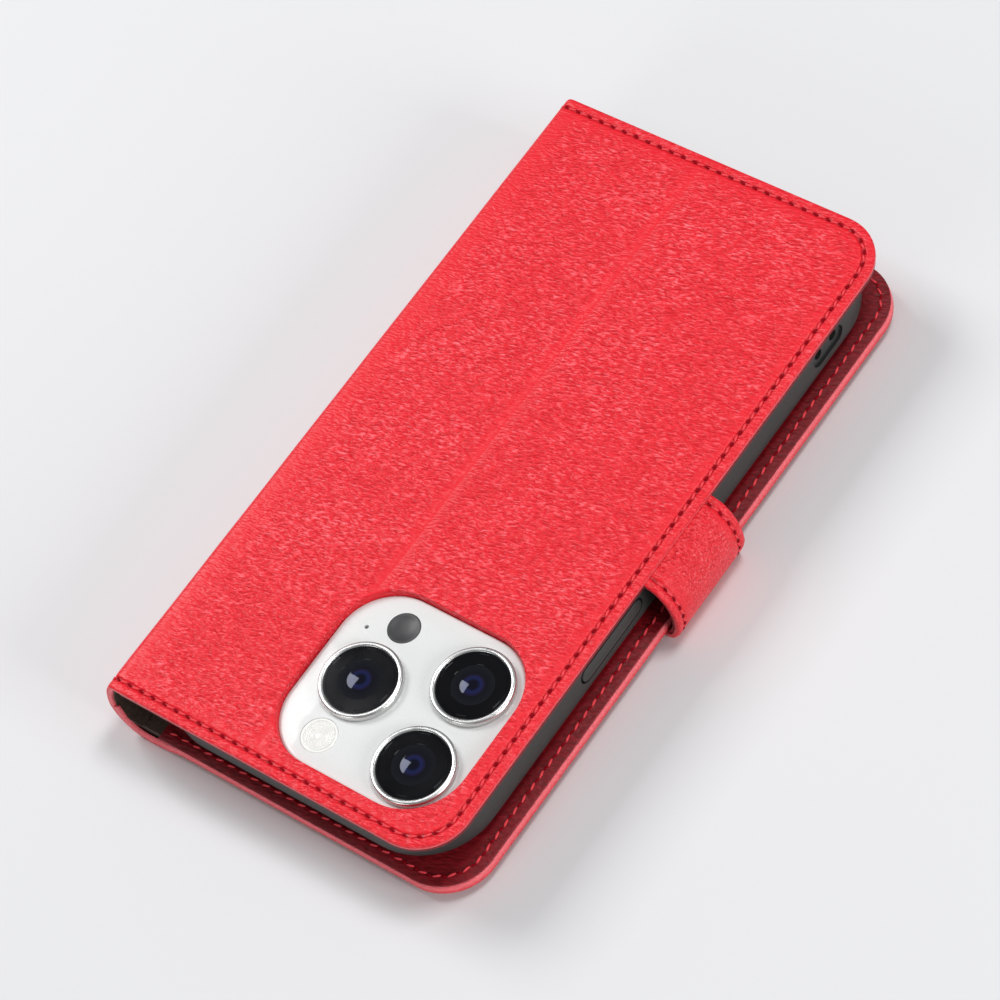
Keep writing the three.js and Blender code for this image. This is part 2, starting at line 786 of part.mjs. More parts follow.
addSolid('strap_tab_leather', cut(
  tabSheet(0, strap.leather),
  magnetPocket,
  ...grooves(tabCurve, tabSteps, tabSeam),
), materials.redLeather);
add('strap_magnet', post(
  catchX,
  strapMiddle,
  magnet.radius,
  strap.leather - magnet.thickness - glueGap,
  strap.leather - glueGap,
), materials.magnet);
addSolid('strap_tab_lining', tabSheet(liningDepth, strapThickness), materials.redLining);
addThreads('strap_tab_stitching', tabCurve, tabSteps, tabSeam);

export default walletCase;
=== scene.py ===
import math
from functools import partial

import bmesh
import bpy
from mathutils import Matrix, Vector, noise
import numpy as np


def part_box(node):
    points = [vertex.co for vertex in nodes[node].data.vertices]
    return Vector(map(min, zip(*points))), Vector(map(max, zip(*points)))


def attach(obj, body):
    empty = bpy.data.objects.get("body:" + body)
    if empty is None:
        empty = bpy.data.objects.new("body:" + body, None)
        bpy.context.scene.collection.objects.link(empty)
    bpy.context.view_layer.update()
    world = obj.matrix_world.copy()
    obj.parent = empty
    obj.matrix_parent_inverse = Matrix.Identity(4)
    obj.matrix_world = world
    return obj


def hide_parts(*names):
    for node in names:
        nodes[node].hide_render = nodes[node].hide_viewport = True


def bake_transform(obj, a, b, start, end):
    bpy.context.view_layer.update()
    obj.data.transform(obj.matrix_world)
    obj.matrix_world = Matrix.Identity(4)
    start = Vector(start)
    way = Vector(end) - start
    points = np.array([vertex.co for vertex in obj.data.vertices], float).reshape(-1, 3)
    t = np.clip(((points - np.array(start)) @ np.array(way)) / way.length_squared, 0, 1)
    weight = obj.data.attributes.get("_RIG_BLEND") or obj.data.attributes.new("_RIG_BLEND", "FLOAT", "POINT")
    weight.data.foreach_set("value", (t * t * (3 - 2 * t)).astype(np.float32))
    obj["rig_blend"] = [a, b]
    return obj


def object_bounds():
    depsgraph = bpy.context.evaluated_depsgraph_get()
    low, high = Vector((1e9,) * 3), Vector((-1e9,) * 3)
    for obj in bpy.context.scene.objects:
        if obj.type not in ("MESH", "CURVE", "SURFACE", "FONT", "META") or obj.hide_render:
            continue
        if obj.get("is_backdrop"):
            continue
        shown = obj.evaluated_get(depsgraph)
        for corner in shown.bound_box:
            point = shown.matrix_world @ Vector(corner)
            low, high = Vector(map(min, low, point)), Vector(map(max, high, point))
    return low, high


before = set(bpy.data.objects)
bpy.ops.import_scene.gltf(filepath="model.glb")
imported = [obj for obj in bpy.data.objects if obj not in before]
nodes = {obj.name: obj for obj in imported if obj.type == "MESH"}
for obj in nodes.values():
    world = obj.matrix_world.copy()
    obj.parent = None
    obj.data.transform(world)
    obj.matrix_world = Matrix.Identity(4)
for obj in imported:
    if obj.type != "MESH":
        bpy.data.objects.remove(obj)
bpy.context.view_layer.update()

# -------------------- studio
# The closed case lies on a pale table in an evenly lit studio. One large soft light stands
# past the spine and one hangs overhead, so that the leather's grain catches them, and two
# more light the strap side and the camera end.


def blank_finish(name):
    """A new material, its node tree, and its shader's inputs."""
    material = bpy.data.materials.new(name)
    material.use_nodes = True
    return material, material.node_tree, material.node_tree.nodes["Principled BSDF"].inputs


bpy.ops.object.select_all(action="DESELECT")
bpy.ops.mesh.primitive_plane_add(size=6, location=(0, 0, 0))
table = bpy.context.object
table.name = "table"
table_paint, _, surface = blank_finish("table_paint")
surface["Base Color"].default_value = (0.74, 0.74, 0.75, 1)
surface["Roughness"].default_value = 0.7
table.data.materials.append(table_paint)
table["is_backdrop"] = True

surround = bpy.data.worlds.new("surround")
surround.use_nodes = True
backdrop = surround.node_tree.nodes["Background"].inputs
backdrop["Color"].default_value = (0.95, 0.97, 1, 1)
backdrop["Strength"].default_value = 0.25
bpy.context.scene.world = surround
bpy.context.scene.view_settings.view_transform = "Standard"


def soft_light(name, place, size, power):
    """A square soft light that faces the case."""
    bpy.ops.object.select_all(action="DESELECT")
    bpy.ops.object.light_add(type="AREA", location=place)
    light = bpy.context.object
    light.name = name
    light.rotation_euler = (-Vector(place)).to_track_quat("-Z", "Y").to_euler()
    light.data.size = size
    light.data.energy = power


soft_light("window_light", (-0.80, 0.05, 0.85), 0.5, 6.8)
soft_light("top_light", (0.25, 0.35, 1.2), 0.35, 6.1)
soft_light("strap_side_light", (1.15, 0.0, 0.42), 0.5, 7)
soft_light("camera_end_light", (-0.1, -1.2, 0.45), 0.5, 2.5)

sight = Vector((0.00381, -0.008324, 0.02035))
backwards = Vector((0.4697, -0.3343, 0.8171)).normalized()
sideways = Vector((0.7917, 0.5690, -0.2224))
sideways = (sideways - sideways.dot(backwards) * backwards).normalized()
upwards = backwards.cross(sideways)
camera_distance = 0.78656
bpy.ops.object.select_all(action="DESELECT")
bpy.ops.object.camera_add(location=sight + backwards * camera_distance)
camera = bpy.context.object
camera.name = "camera"
camera.data.sensor_width = 36
camera.data.lens = 144.39
camera.data.clip_start = 0.05
facing = Matrix((sideways, upwards, backwards)).transposed().to_4x4()
camera.matrix_world = Matrix.Translation(camera.location) @ facing
bpy.context.scene.camera = camera

# -------------------- back panel and half the spine
# One sheet of red coated leather, cut flat with a camera window, pressed with a channel
# for the seam and a crease for the stand, turned in round its boards, and laid over the
# panel and halfway down the spine. It bends where the spine folds.

mm = 0.001


def corners(name):
    """A node's lowest and highest corners, in millimetres."""
    return [Vector(corner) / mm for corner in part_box(name)]


def grown(low, high, by):
    """The flat box between two corners, larger by a margin on every side."""
    return low.x - by, high.x + by, low.y - by, high.y + by


def spaced(start, gap, count):
    return [start + gap * step for step in range(count)]


def only(piece):
    """Selects one piece and nothing else."""
    bpy.ops.object.select_all(action="DESELECT")
    piece.select_set(True)
    bpy.context.view_layer.objects.active = piece


def pick(piece, kind, wanted):
    """In edit mode, selects only the vertices, edges or faces that are wanted."""
    bpy.ops.mesh.select_mode(type=kind)
    bpy.ops.mesh.select_all(action="DESELECT")
    shape = bmesh.from_edit_mesh(piece.data)
    shape.normal_update()
    for each in {"VERT": shape.verts, "EDGE": shape.edges, "FACE": shape.faces}[kind]:
        if wanted(each):
            each.select_set(True)
    shape.select_flush_mode()
    bmesh.update_edit_mesh(piece.data)


def middle(edge):
    return (edge.verts[0].co + edge.verts[1].co) / 2


def start_plate(name, box, height, left_radius, right_radius, steps=12):
    """A flat face with rounded corners, left selected in edit mode. Sizes are in millimetres."""
    left, right, low, high = box
    bpy.ops.object.select_all(action="DESELECT")
    bpy.ops.mesh.primitive_plane_add(size=2, location=(0, 0, 0))
    piece = bpy.context.object
    piece.name = piece.data.name = name
    for vertex in piece.data.vertices:
        x, y, _ = vertex.co
        vertex.co = (right if x > 0 else left, high if y > 0 else low, height)
    bpy.ops.object.mode_set(mode="EDIT")
    for side, radius in ((left, left_radius), (right, right_radius)):
        if radius:
            pick(piece, "VERT", lambda vertex: abs(vertex.co.x - side) < 1e-4)
            bpy.ops.mesh.bevel(offset=radius, segments=steps, affect="VERTICES", clamp_overlap=False)
    bpy.ops.mesh.select_mode(type="FACE")
    bpy.ops.mesh.select_all(action="SELECT")
    return piece


def step_in(steps):
    """Insets the selected face by each distance in turn, and raises it by the height beside it."""
    for distance, rise in steps:
        bpy.ops.mesh.inset(thickness=distance, depth=rise)


def draw_out(x=0.0, y=0.0, z=0.0):
    bpy.ops.mesh.extrude_region_move(TRANSFORM_OT_translate={"value": (x, y, z)})


def draw_down(box, steps):
    """Draws the selected edge inwards and down by each pair of distances; the left end stays put."""
    left, right, low, high = box
    for inwards, down in steps:
        draw_out(z=-down)
        bpy.ops.transform.resize(
            value=(1 - inwards / (right - left), 1 - 2 * inwards / (high - low), 1),
            center_override=(left, (low + high) / 2, 0),
        )


def turn_in_hem(piece, box, drop):
    """Draws the outer edge down round the board, and then a little way in under it."""
    edge_height = min(vertex.co.z for vertex in bmesh.from_edit_mesh(piece.data).verts) + 0.01
    pick(piece, "EDGE", lambda edge: edge.is_boundary and middle(edge).z < edge_height)
    draw_down(box, ((0, 0.62 * drop), (0.1, 0.2 * drop), (0.35, 0.18 * drop), (0.3, 0)))


def slice_at(axis, places):
    """Cuts edges into the whole mesh, square to an axis, for what bends or waves there."""
    normal = [0.0, 0.0, 0.0]
    normal[axis] = 1.0
    for place in places:
        bpy.ops.mesh.select_all(action="SELECT")
        bpy.ops.mesh.bisect(plane_co=[place * part for part in normal], plane_no=normal)


def trim(place, clear_low, fill=False):
    """Cuts the whole mesh through, square to x, and clears what lies on one side of the cut."""
    bpy.ops.mesh.select_all(action="SELECT")
    bpy.ops.mesh.bisect(
        plane_co=(place, 0, 0), plane_no=(1, 0, 0), use_fill=fill,
        clear_inner=clear_low, clear_outer=not clear_low,
    )


def divide_sheet(across, along, left_end):
    """Cuts edges into a sheet for its bends and waves, and trims off what was spare."""
    slice_at(0, across)
    slice_at(1, along)
    trim(left_end, True)
    bpy.ops.mesh.select_all(action="SELECT")
    bpy.ops.mesh.remove_doubles(threshold=0.001)
    bpy.ops.object.mode_set(mode="OBJECT")


def smooth_path(points, steps=6):
    """A smooth line through (x, z) points: each stretch is a spline of its two neighbours."""
    points = [Vector(point) for point in points]
    line = [points[0]]
    for index in range(len(points) - 1):
        start, end = points[index], points[index + 1]
        span = (end - start).length
        before = points[index - 1] if index else start * 2 - end
        after = points[index + 2] if index + 2 < len(points) else end * 2 - start
        leave = (end - before).normalized() * span
        arrive = (after - start).normalized() * span
        for step in range(1, steps + 1):
            t = step / steps
            line.append(
                start * (2 * t**3 - 3 * t**2 + 1) + leave * (t**3 - 2 * t**2 + t)
                + end * (3 * t**2 - 2 * t**3) + arrive * (t**3 - t**2)
            )
    return line


def path_length(line):
    return sum((after - before).length for before, after in zip(line, line[1:]))


def lay_along(piece, line, origin, level, way, side):
    """Lays a flat piece along a line in x and z: x from origin goes along it, height stands off it."""
    tangents = [
        (line[min(index + 1, len(line) - 1)] - line[max(index - 1, 0)]).normalized()
        for index in range(len(line))
    ]
    tangents[0] = Vector((way, 0))
    marks = [0.0]
    for before, after in zip(line, line[1:]):
        marks.append(marks[-1] + (after - before).length)
    for vertex in piece.data.vertices:
        along = way * (vertex.co.x - origin)
        if along <= 0:
            point, tangent = line[0] + tangents[0] * along, tangents[0]
        elif along >= marks[-1]:
            point, tangent = line[-1] + tangents[-1] * (along - marks[-1]), tangents[-1]
        else:
            index = next(index for index, mark in enumerate(marks) if mark > along) - 1
            share = (along - marks[index]) / (marks[index + 1] - marks[index])
            point = line[index].lerp(line[index + 1], share)
            tangent = tangents[index].lerp(tangents[index + 1], share).normalized()
        off = Vector((-tangent.y, tangent.x)) * side * (vertex.co.z - level)
        vertex.co.x, vertex.co.z = point + off
    if way * side < 0:
        piece.data.flip_normals()


def set_down(piece, materials, body=None, smooth=35):
    """Turns millimetres into metres, smooths the piece and gives it its finish and body."""
    if bpy.context.mode != "OBJECT":
        bpy.ops.object.mode_set(mode="OBJECT")
    only(piece)
    piece.data.transform(Matrix.Scale(mm, 4))
    bpy.ops.object.shade_smooth_by_angle(angle=math.radians(smooth))
    for material in materials:
        piece.data.materials.append(material)
    if body:
        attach(piece, body)


def node(tree, kind, *feeds, **settings):
    """Adds a shader node. Each feed is an input and the value or output that goes into it."""
    made = tree.nodes.new("ShaderNode" + kind)
    for name, value in settings.items():
        setattr(made, name, value)
    for place, value in feeds:
        if isinstance(value, bpy.types.NodeSocket):
            tree.links.new(value, made.inputs[place])
        else:
            made.inputs[place].default_value = value
    return made


def maths(tree, operation, *values, kind="Math"):
    return node(tree, kind, *enumerate(values), operation=operation).outputs[0]


def mapped(tree, value, low, high, new_low=0.0, new_high=1.0):
    """Takes a value from one span of numbers to another."""
    return node(tree, "MapRange", *enumerate((value, low, high, new_low, new_high))).outputs[0]


def mix_tones(tree, share, first, second):
    return node(tree, "Mix", ("Factor", share), (6, first), (7, second), data_type="RGBA").outputs[2]


def shade_by(tree, value, stops):
    """A colour for each value: a stop is a value and the colour there."""
    tones = node(tree, "ValToRGB", ("Fac", value))
    while len(tones.color_ramp.elements) < len(stops):
        tones.color_ramp.elements.new(0.5)
    for element, (at, tone) in zip(tones.color_ramp.elements, stops):
        element.position = at
        element.color = (*tone, 1)
    return tones.outputs[0]


def emboss(tree, surface, height, strength, depth):
    """Gives the surface a height as its relief, depth in metres."""
    bump = node(tree, "Bump", ("Height", height), ("Strength", strength), ("Distance", depth))
    tree.links.new(bump.outputs[0], surface["Normal"])


def blank_group(name, inputs, outputs):
    """A node group with named inputs and outputs, and its two end nodes."""
    group = bpy.data.node_groups.new(name, "ShaderNodeTree")
    for label, kind in inputs:
        group.interface.new_socket(label, in_out="INPUT", socket_type="NodeSocket" + kind)
    for label, kind in outputs:
        group.interface.new_socket(label, in_out="OUTPUT", socket_type="NodeSocket" + kind)
    return group, group.nodes.new("NodeGroupInput").outputs, group.nodes.new("NodeGroupOutput").inputs


# Pressed grain: short wavy wrinkles that run across the case, over small irregular pebbles.
grain, given, shown = blank_group(
    "leather_grain",
    [("Place", "Vector"), ("Wrinkle Size", "Float"), ("Pebble Share", "Float")],
    [("Height", "Float"), ("Patches", "Float")],
)
fineness = maths(grain, "DIVIDE", 1.0, given["Wrinkle Size"])
wander = node(grain, "TexNoise", ("Vector", given["Place"]), ("Scale", 260.0), ("Detail", 2.0))
shift = maths(grain, "SUBTRACT", wander.outputs["Color"], (0.5, 0.5, 0.5), kind="VectorMath")
shift = maths(grain, "MULTIPLY", shift, (0.0012, 0.0012, 0.0012), kind="VectorMath")
warped = maths(grain, "ADD", given["Place"], shift, kind="VectorMath")
drawn = node(
    grain, "Mapping", ("Vector", warped), ("Rotation", (0, 0, 0.25)), ("Scale", (3.0, 1.0, 1.0)),
    vector_type="TEXTURE",
).outputs[0]
ridges = node(
    grain, "TexNoise", ("Vector", drawn), ("Scale", fineness), ("Detail", 1.5), ("Roughness", 0.5),
    ("Distortion", 0.35),
).outputs[0]
ridges = mapped(grain, ridges, 0.28, 0.72)
pebbles = node(
    grain, "TexVoronoi", ("Vector", drawn), ("Scale", fineness), ("Smoothness", 0.3), feature="SMOOTH_F1",
).outputs["Distance"]
pebbles = maths(grain, "SUBTRACT", 1.0, pebbles)
mixed = node(grain, "Mix", ("Factor", given["Pebble Share"]), (2, ridges), (3, pebbles)).outputs[0]
patches = node(grain, "TexNoise", ("Vector", given["Place"]), ("Scale", 60.0), ("Detail", 3.0)).outputs[0]
even = mapped(grain, patches, 0.3, 0.7, 0.8, 1.0)
grain.links.new(maths(grain, "MULTIPLY", mixed, even), shown["Height"])
grain.links.new(patches, shown["Patches"])


def leather(name, valley_shade_colour, colour, crest_highlight_colour, seam_shade_colour, size=0.00048, relief=0.00040, shine=0.36):
    """Coated leather: its tone follows the grain, with painted shade in the valleys and a painted pale pink
    highlight on the crests; painted shade darkens it where its seam is pressed, most at the needle holes;
    a painted pale pink highlight runs along its hem's lower edge; and it is smooth where it is pulled taut."""
    material, tree, surface = blank_finish(name)
    skin = node(
        tree, "Group", ("Place", node(tree, "TexCoord").outputs["Object"]), ("Wrinkle Size", size),
        ("Pebble Share", 0.45), node_tree=grain,
    ).outputs
    taut, stitch, channel, seam_shade, edge_highlight = (
        node(tree, "Attribute", attribute_name=mark).outputs["Fac"]
        for mark in ("taut", "stitch", "channel", "seam_shade", "edge_highlight")
    )
    taut_relief, taut_tone, seam_pull, edge_highlight_share = 0.25, 0.42, -0.22, 0.45
    edge_highlight_colour = (1.0, 0.30, 0.34, 1)
    height = maths(tree, "MULTIPLY", skin["Height"], mapped(tree, taut, 0.0, 1.0, 1.0, taut_relief))
    between = maths(tree, "COSINE", maths(tree, "MULTIPLY", stitch, 2 * math.pi))
    drawn_in = maths(tree, "MULTIPLY", between, channel)
    height = maths(tree, "MULTIPLY_ADD", drawn_in, seam_pull, height)
    middling = node(tree, "Mix", ("Factor", taut), (2, skin["Height"]), (3, taut_tone)).outputs[0]
    # The tone follows the grain's height: painted shade in the valleys, a painted pale pink highlight on the
    # crests.
    base = shade_by(tree, middling, ((0.15, valley_shade_colour), (0.5, colour), (0.85, crest_highlight_colour)))
    # Painted shade: darker along the seam's pressed channel, most of all at each needle hole.
    hole_shade = mapped(tree, between, -1.0, 1.0, 0.3, 1.0)
    base = mix_tones(tree, maths(tree, "MULTIPLY", seam_shade, hole_shade), base, (*seam_shade_colour, 1))
    # Painted highlight: pale pink on the hem's lower edge.
    base = mix_tones(tree, maths(tree, "MULTIPLY", edge_highlight, edge_highlight_share), base, edge_highlight_colour)
    tree.links.new(base, surface["Base Color"])
    rough = mapped(tree, skin["Patches"], 0.3, 0.7, shine + 0.06, shine)
    tree.links.new(rough, surface["Roughness"])
    emboss(tree, surface, height, 1.0, relief)
    surface["Specular IOR Level"].default_value = 0.4
    return material


red_leather = leather(
    "red_leather", (0.64, 0.003, 0.012), (0.84, 0.014, 0.028), (0.98, 0.16, 0.19), (0.34, 0.001, 0.007),
)
# The window's wall: a darker red, partly the cut edge's own colour and partly painted shade in the window's
# recess.
cut_edge_and_shade = leather(
    "red_cut_edge", (0.42, 0.0008, 0.004), (0.46, 0.001, 0.005), (0.50, 0.001, 0.006), (0.3, 0.001, 0.004),
    0.0012, 0.00002, 0.45,
)

panel_low, panel_high = corners("back_leather")
window_low, window_high = corners("camera_plateau")
panel_top = panel_high.z
open_corner = 11.0
fold_start = -39.2
spine_middle = (-45.5, 9.5)
back_spine = smooth_path([
    (fold_start, panel_top), (-40.3, panel_top), (-41.3, panel_top - 0.25), (-42.1, panel_top - 1.05),
    (-43.7, 16.3), (-44.9, 12.6), spine_middle,
])
crease = -6.0

# The seam's channel lies between a puffed border and the slightly sunken panel.
border = [
    (0.05, 0.2), (0.15, 0.15), (0.28, 0.08), (0.42, 0.03), (0.55, -0.02), (0.40, -0.08), (0.13, -0.22),
    (0.32, -0.03), (0.32, 0.03), (0.13, 0.22), (0.35, 0.08), (0.35, 0.03),
]


def pressed_sheet(name, box, level, corner, border, steps=14):
    """A flat sheet with a rounded hem and a pressed channel, its inner face left selected."""
    piece = start_plate(name, box, level - sum(rise for _, rise in border), 0, corner, steps)
    step_in(border)
    return piece


far_left = fold_start - path_length(back_spine)
spare = 12              # pressed along with a sheet, and trimmed off its left end afterwards
sheet_box = (far_left - spare, panel_high.x, panel_low.y, panel_high.y)
back_skin = pressed_sheet("back_skin", sheet_box, panel_top, open_corner, border)
bpy.ops.mesh.delete(type="ONLY_FACE")
turn_in_hem(back_skin, sheet_box, 1.02)
bpy.ops.object.mode_set(mode="OBJECT")

rim = 0.45
window_margin = 0.15
plateau_corner = 12
window_box = grown(window_low, window_high, window_margin + rim)
window_corner = plateau_corner + 0.5 + rim
window_rim = start_plate("window_rim", window_box, panel_top, window_corner, window_corner, 14)
step_in([
    (0.2, -0.03), (0.15, -0.09), (0.08, -0.13), (0.02, -0.2), (0.02, -0.9), (0.03, -0.6), (0.03, -0.5),
])
bpy.ops.mesh.delete(type="ONLY_FACE")
bpy.ops.object.mode_set(mode="OBJECT")
# Faces below the top take the darker wall finish: partly the edge's own colour, partly painted shade.
for face in window_rim.data.polygons:
    face.material_index = 1 if face.center.z < panel_top - 0.05 else 0

only(back_skin)
window_rim.select_set(True)
bpy.ops.object.join()
bpy.ops.object.mode_set(mode="EDIT")
pick(back_skin, "EDGE", lambda edge: edge.is_boundary and middle(edge).z > panel_top - 0.01)
bpy.ops.mesh.fill(use_beauty=False)
beside_crease = (-5, -3.6, -2.6, -1.9, -1.3, -0.8, -0.4, 0, 0.4, 0.8, 1.3, 1.9, 2.6, 3.6, 5)
across = [crease + offset for offset in beside_crease] + spaced(fold_start, -0.35, 16)
across += spaced(fold_start - 5.6, -0.9, 10) + spaced(panel_low.x + 4, 3, 26)
divide_sheet(across, spaced(panel_low.y + 4, 3, 51), far_left)


def seam_lengths(box, radius, inset, start):
    """A seam's turning radius, and the lengths of an end, a corner, the open side and all of it."""
    _, right, low, high = box
    turn_radius = radius - inset
    straight, turn, tall = right - radius - start, math.pi / 2 * turn_radius, high - low - 2 * radius
    return turn_radius, straight, turn, tall, 2 * (straight + turn) + tall


def seam_phase(x, y, box, radius, inset, start, pitch):
    """How far along its seam a place lies, counted in stitches, and how far in from the edge."""
    _, right, low, high = box
    turn_radius, straight, turn, tall, total = seam_lengths(box, radius, inset, start)
    out, up = x - (right - radius), abs(y - (low + high) / 2) - tall / 2
    if out <= 0:
        run, edge = x - start, radius - up
    elif up <= 0:
        run, edge = straight + turn - up, radius - out
    else:
        run, edge = straight + turn_radius * math.atan2(out, up), radius - math.hypot(out, up)
    return run / total * round(total / pitch), edge


def mark_surface(piece, seam_line, level, smooth_places=()):
    """Notes, for the material, where the leather is pressed by its seam and darkened there as painted shade,
    where it is pulled taut, and where its hem's lower edge takes a painted pale pink highlight.
    """
    marks = piece.data.attributes
    names = ("seam_shade", "channel", "stitch", "taut", "edge_highlight")
    for name in names:
        marks.new(name, "FLOAT", "POINT")
    # Each new attribute moves the ones before it, so their values are fetched last.
    seam_shade, channel, stitch, taut, edge_highlight = (marks[name].data for name in names)
    inset = seam_line[2]
    hem_drop, hem_span = 0.75, 0.4
    seam_shade_reach, channel_reach, taut_reach = 0.55, 1.8, 2.4
    for index, vertex in enumerate(piece.data.vertices):
        x, y, z = vertex.co
        phase, edge = seam_phase(x, y, *seam_line)
        stitch[index].value = phase
        # Painted highlight: the hem's lower edge, which the material paints pale pink.
        edge_highlight[index].value = max(0.0, min(1.0, (level - z - hem_drop) / hem_span)) if edge < 1 else 0.0
        # Painted shade: how near the seam's line a place lies, which the material darkens.
        seam_shade[index].value = max(0.0, 1 - abs(edge - inset) / seam_shade_reach)
        channel[index].value = max(0.0, 1 - abs(edge - inset) / channel_reach)
        past_channel = max(0.0, edge - inset - 0.6)
        by_seam = 0.3 if edge < inset - 0.3 else 0.8 * max(0.0, 1 - past_channel / taut_reach)
        taut[index].value = max([by_seam] + [1 - abs(x - place) / reach for place, reach in smooth_places])


def waves(place):
    """The slight unevenness of a sheet that is glued over board, in millimetres."""
    return 0.07 * noise.noise(Vector((place.x / 14, place.y / 21, 3.1))) - 0.02


wave_end = -(panel_low.y + 4)
fade = 3                # over which the waves die out towards the hem and the window
window_left, window_right, window_near, window_far = window_box
for vertex in back_skin.data.vertices:
    place = vertex.co
    if place.z > panel_top - 0.005 and abs(place.y) < wave_end:
        aside = max(
            window_left - place.x, place.x - window_right, window_near - place.y, place.y - window_far,
        )
        near_end = max(0.0, min(1.0, (wave_end - abs(place.y)) / fade, aside / fade))
        beside = (place.x - crease) + 0.25 * noise.noise(Vector((place.y / 9, 0.4, 0)))
        groove = 0.32 * math.exp(-((beside / 1.1) ** 2)) - 0.08 * math.exp(-((beside / 3.0) ** 2))
        place.z += near_end * (waves(place) - groove)
seam_inset = 2.3
stitch_pitch = 3.0
back_line = (grown(panel_low, panel_high, 0), open_corner, seam_inset, far_left + 0.4, stitch_pitch)
# At the crease the taut mark also lays a flat tone a little below the base red over the grain: painted shade
# along the crease.
mark_surface(back_skin, back_line, panel_top, ((fold_start - 1.0, 5.5), (far_left, 2), (crease, 2.4)))


def thicken(piece, thickness):
    """Gives a sheet its thickness, inwards."""
    only(piece)
    wall = piece.modifiers.new("wall", "SOLIDIFY")
    wall.thickness = thickness
    wall.offset = -1
    bpy.ops.object.modifier_apply(modifier=wall.name)


skin_thickness = 0.5
thicken(back_skin, skin_thickness)
lay_back = partial(lay_along, line=back_spine, origin=fold_start, level=panel_top, way=-1, side=-1)
lay_back(back_skin)
set_down(back_skin, [red_leather, cut_edge_and_shade], smooth=50)
back_fold = {"start": (-0.0406, 0, 0.0203), "end": (-0.0430, 0, 0.0175)}
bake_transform(back_skin, "back", "spine", **back_fold)
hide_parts("back_leather")

# -------------------- back panel's seam
# Thick bright red thread, sewn by machine through the pressed channel round three sides
# and on down the ends of the spine. Each stitch lies a little across the seam and dips at
# both ends, with a small dark piece after it that stands for its needle hole: painted shade.


def plain_finish(name, colour, other, scale, rough, relief, stretch=(1, 1, 1), **uniform):
    """A finish of two close colours in small irregular flecks, with the same flecks in relief.
    What is uniform is set on the shader itself."""
    material, tree, surface = blank_finish(name)
    place = node(tree, "TexCoord").outputs["Object"]
    place = node(tree, "Mapping", ("Vector", place), ("Scale", stretch)).outputs[0]
    flecks = node(tree, "TexNoise", ("Vector", place), ("Scale", scale), ("Detail", 4.0)).outputs[0]
    spread = mapped(tree, flecks, 0.3, 0.7)
    tree.links.new(mix_tones(tree, spread, (*colour, 1), (*other, 1)), surface["Base Color"])
    tree.links.new(mapped(tree, spread, 0.0, 1.0, rough - 0.05, rough + 0.07), surface["Roughness"])
    emboss(tree, surface, flecks, 0.7, relief)
    labels = {"metallic": "Metallic", "coat": "Coat Weight", "specular": "Specular IOR Level"}
    for label, value in uniform.items():
        surface[labels[label]].default_value = value
    return material


# Dark red pieces laid at the needle holes: painted shade standing for the holes.
needle_hole_shade = plain_finish(
    "needle_hole_shade", (0.24, 0.001, 0.006), (0.30, 0.002, 0.009), 3000, 0.9, 0.00005, specular=0.1,
)
thread_red, tree, surface = blank_finish("thread_red")
place = node(tree, "TexCoord").outputs["Object"]
fibres = node(tree, "TexNoise", ("Vector", place), ("Scale", 5200.0), ("Detail", 2.0)).outputs[0]
tone = mix_tones(tree, fibres, (0.70, 0.012, 0.028, 1), (0.96, 0.075, 0.095, 1))
tree.links.new(tone, surface["Base Color"])
emboss(tree, surface, fibres, 0.8, 0.0001)
surface["Roughness"].default_value = 0.6


def seam_places(box, radius, inset, start, pitch):
    """Where the stitches go: along one end, round the open edge, and back along the other end."""
    _, right, low, high = box
    turn_radius, straight, turn, tall, total = seam_lengths(box, radius, inset, start)
    count = round(total / pitch)
    for index in range(count):
        along = (index + 0.5) * total / count
        if along < straight:
            yield start + along, low + inset, 0.0
        elif along < straight + turn:
            angle = (along - straight) / turn_radius
            yield (right - radius + turn_radius * math.sin(angle),
                   low + radius - turn_radius * math.cos(angle), angle)
        elif along < straight + turn + tall:
            yield right - inset, low + radius + along - straight - turn, math.pi / 2
        elif along < straight + 2 * turn + tall:
            angle = (along - straight - turn - tall) / turn_radius
            yield (right - radius + turn_radius * math.cos(angle),
                   high - radius + turn_radius * math.sin(angle), math.pi / 2 + angle)
        else:
            yield right - radius - (along - straight - 2 * turn - tall), high - inset, math.pi


def sew(name, places, level, length=2.0, slant=0.22, width=0.27, dip=0.24):
    """A stitch and, after it, a dark piece of painted shade for its needle hole, copied to each place of a
    seam on a flat sheet.
    """
    bpy.ops.object.select_all(action="DESELECT")
    bpy.ops.mesh.primitive_uv_sphere_add(segments=8, ring_count=6, radius=1, location=(0, 0, 0))
    stitch = bpy.context.object
    for vertex in stitch.data.vertices:
        x, y, z = vertex.co
        vertex.co = (x * length / 2, y * width, z * width - dip * x * x)
    only(stitch)
    bpy.ops.object.duplicate()
    hole = bpy.context.object
    for vertex in hole.data.vertices:
        vertex.co.x *= 0.6
        vertex.co.z *= 0.45
    for face in hole.data.polygons:
        face.material_index = 1
    seam = bmesh.new()
    for x, y, heading in places:
        there = Matrix.Translation((x, y, level)) @ Matrix.Rotation(heading, 4, "Z")
        for part, turn in (
            (stitch, Matrix.Rotation(slant, 4, "Z")),
            (hole, Matrix.Translation((length * 0.75, 0, width * 0.35)) @ Matrix.Rotation(-slant, 4, "Z")),
        ):
            each = part.data.copy()
            each.transform(there @ turn)
            seam.from_mesh(each)
            bpy.data.meshes.remove(each)
    seam.to_mesh(stitch.data)
    seam.free()
    bpy.data.objects.remove(hole)
    stitch.name = stitch.data.name = name
    return stitch


sunk = 0.16             # how far the thread's middle lies below the sheet's surface
back_seam = sew("back_seam", seam_places(*back_line), panel_top - sunk)
lay_back(back_seam)
set_down(back_seam, [thread_red, needle_hole_shade], smooth=60)
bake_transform(back_seam, "back", "spine", **back_fold)
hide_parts("back_stitching")

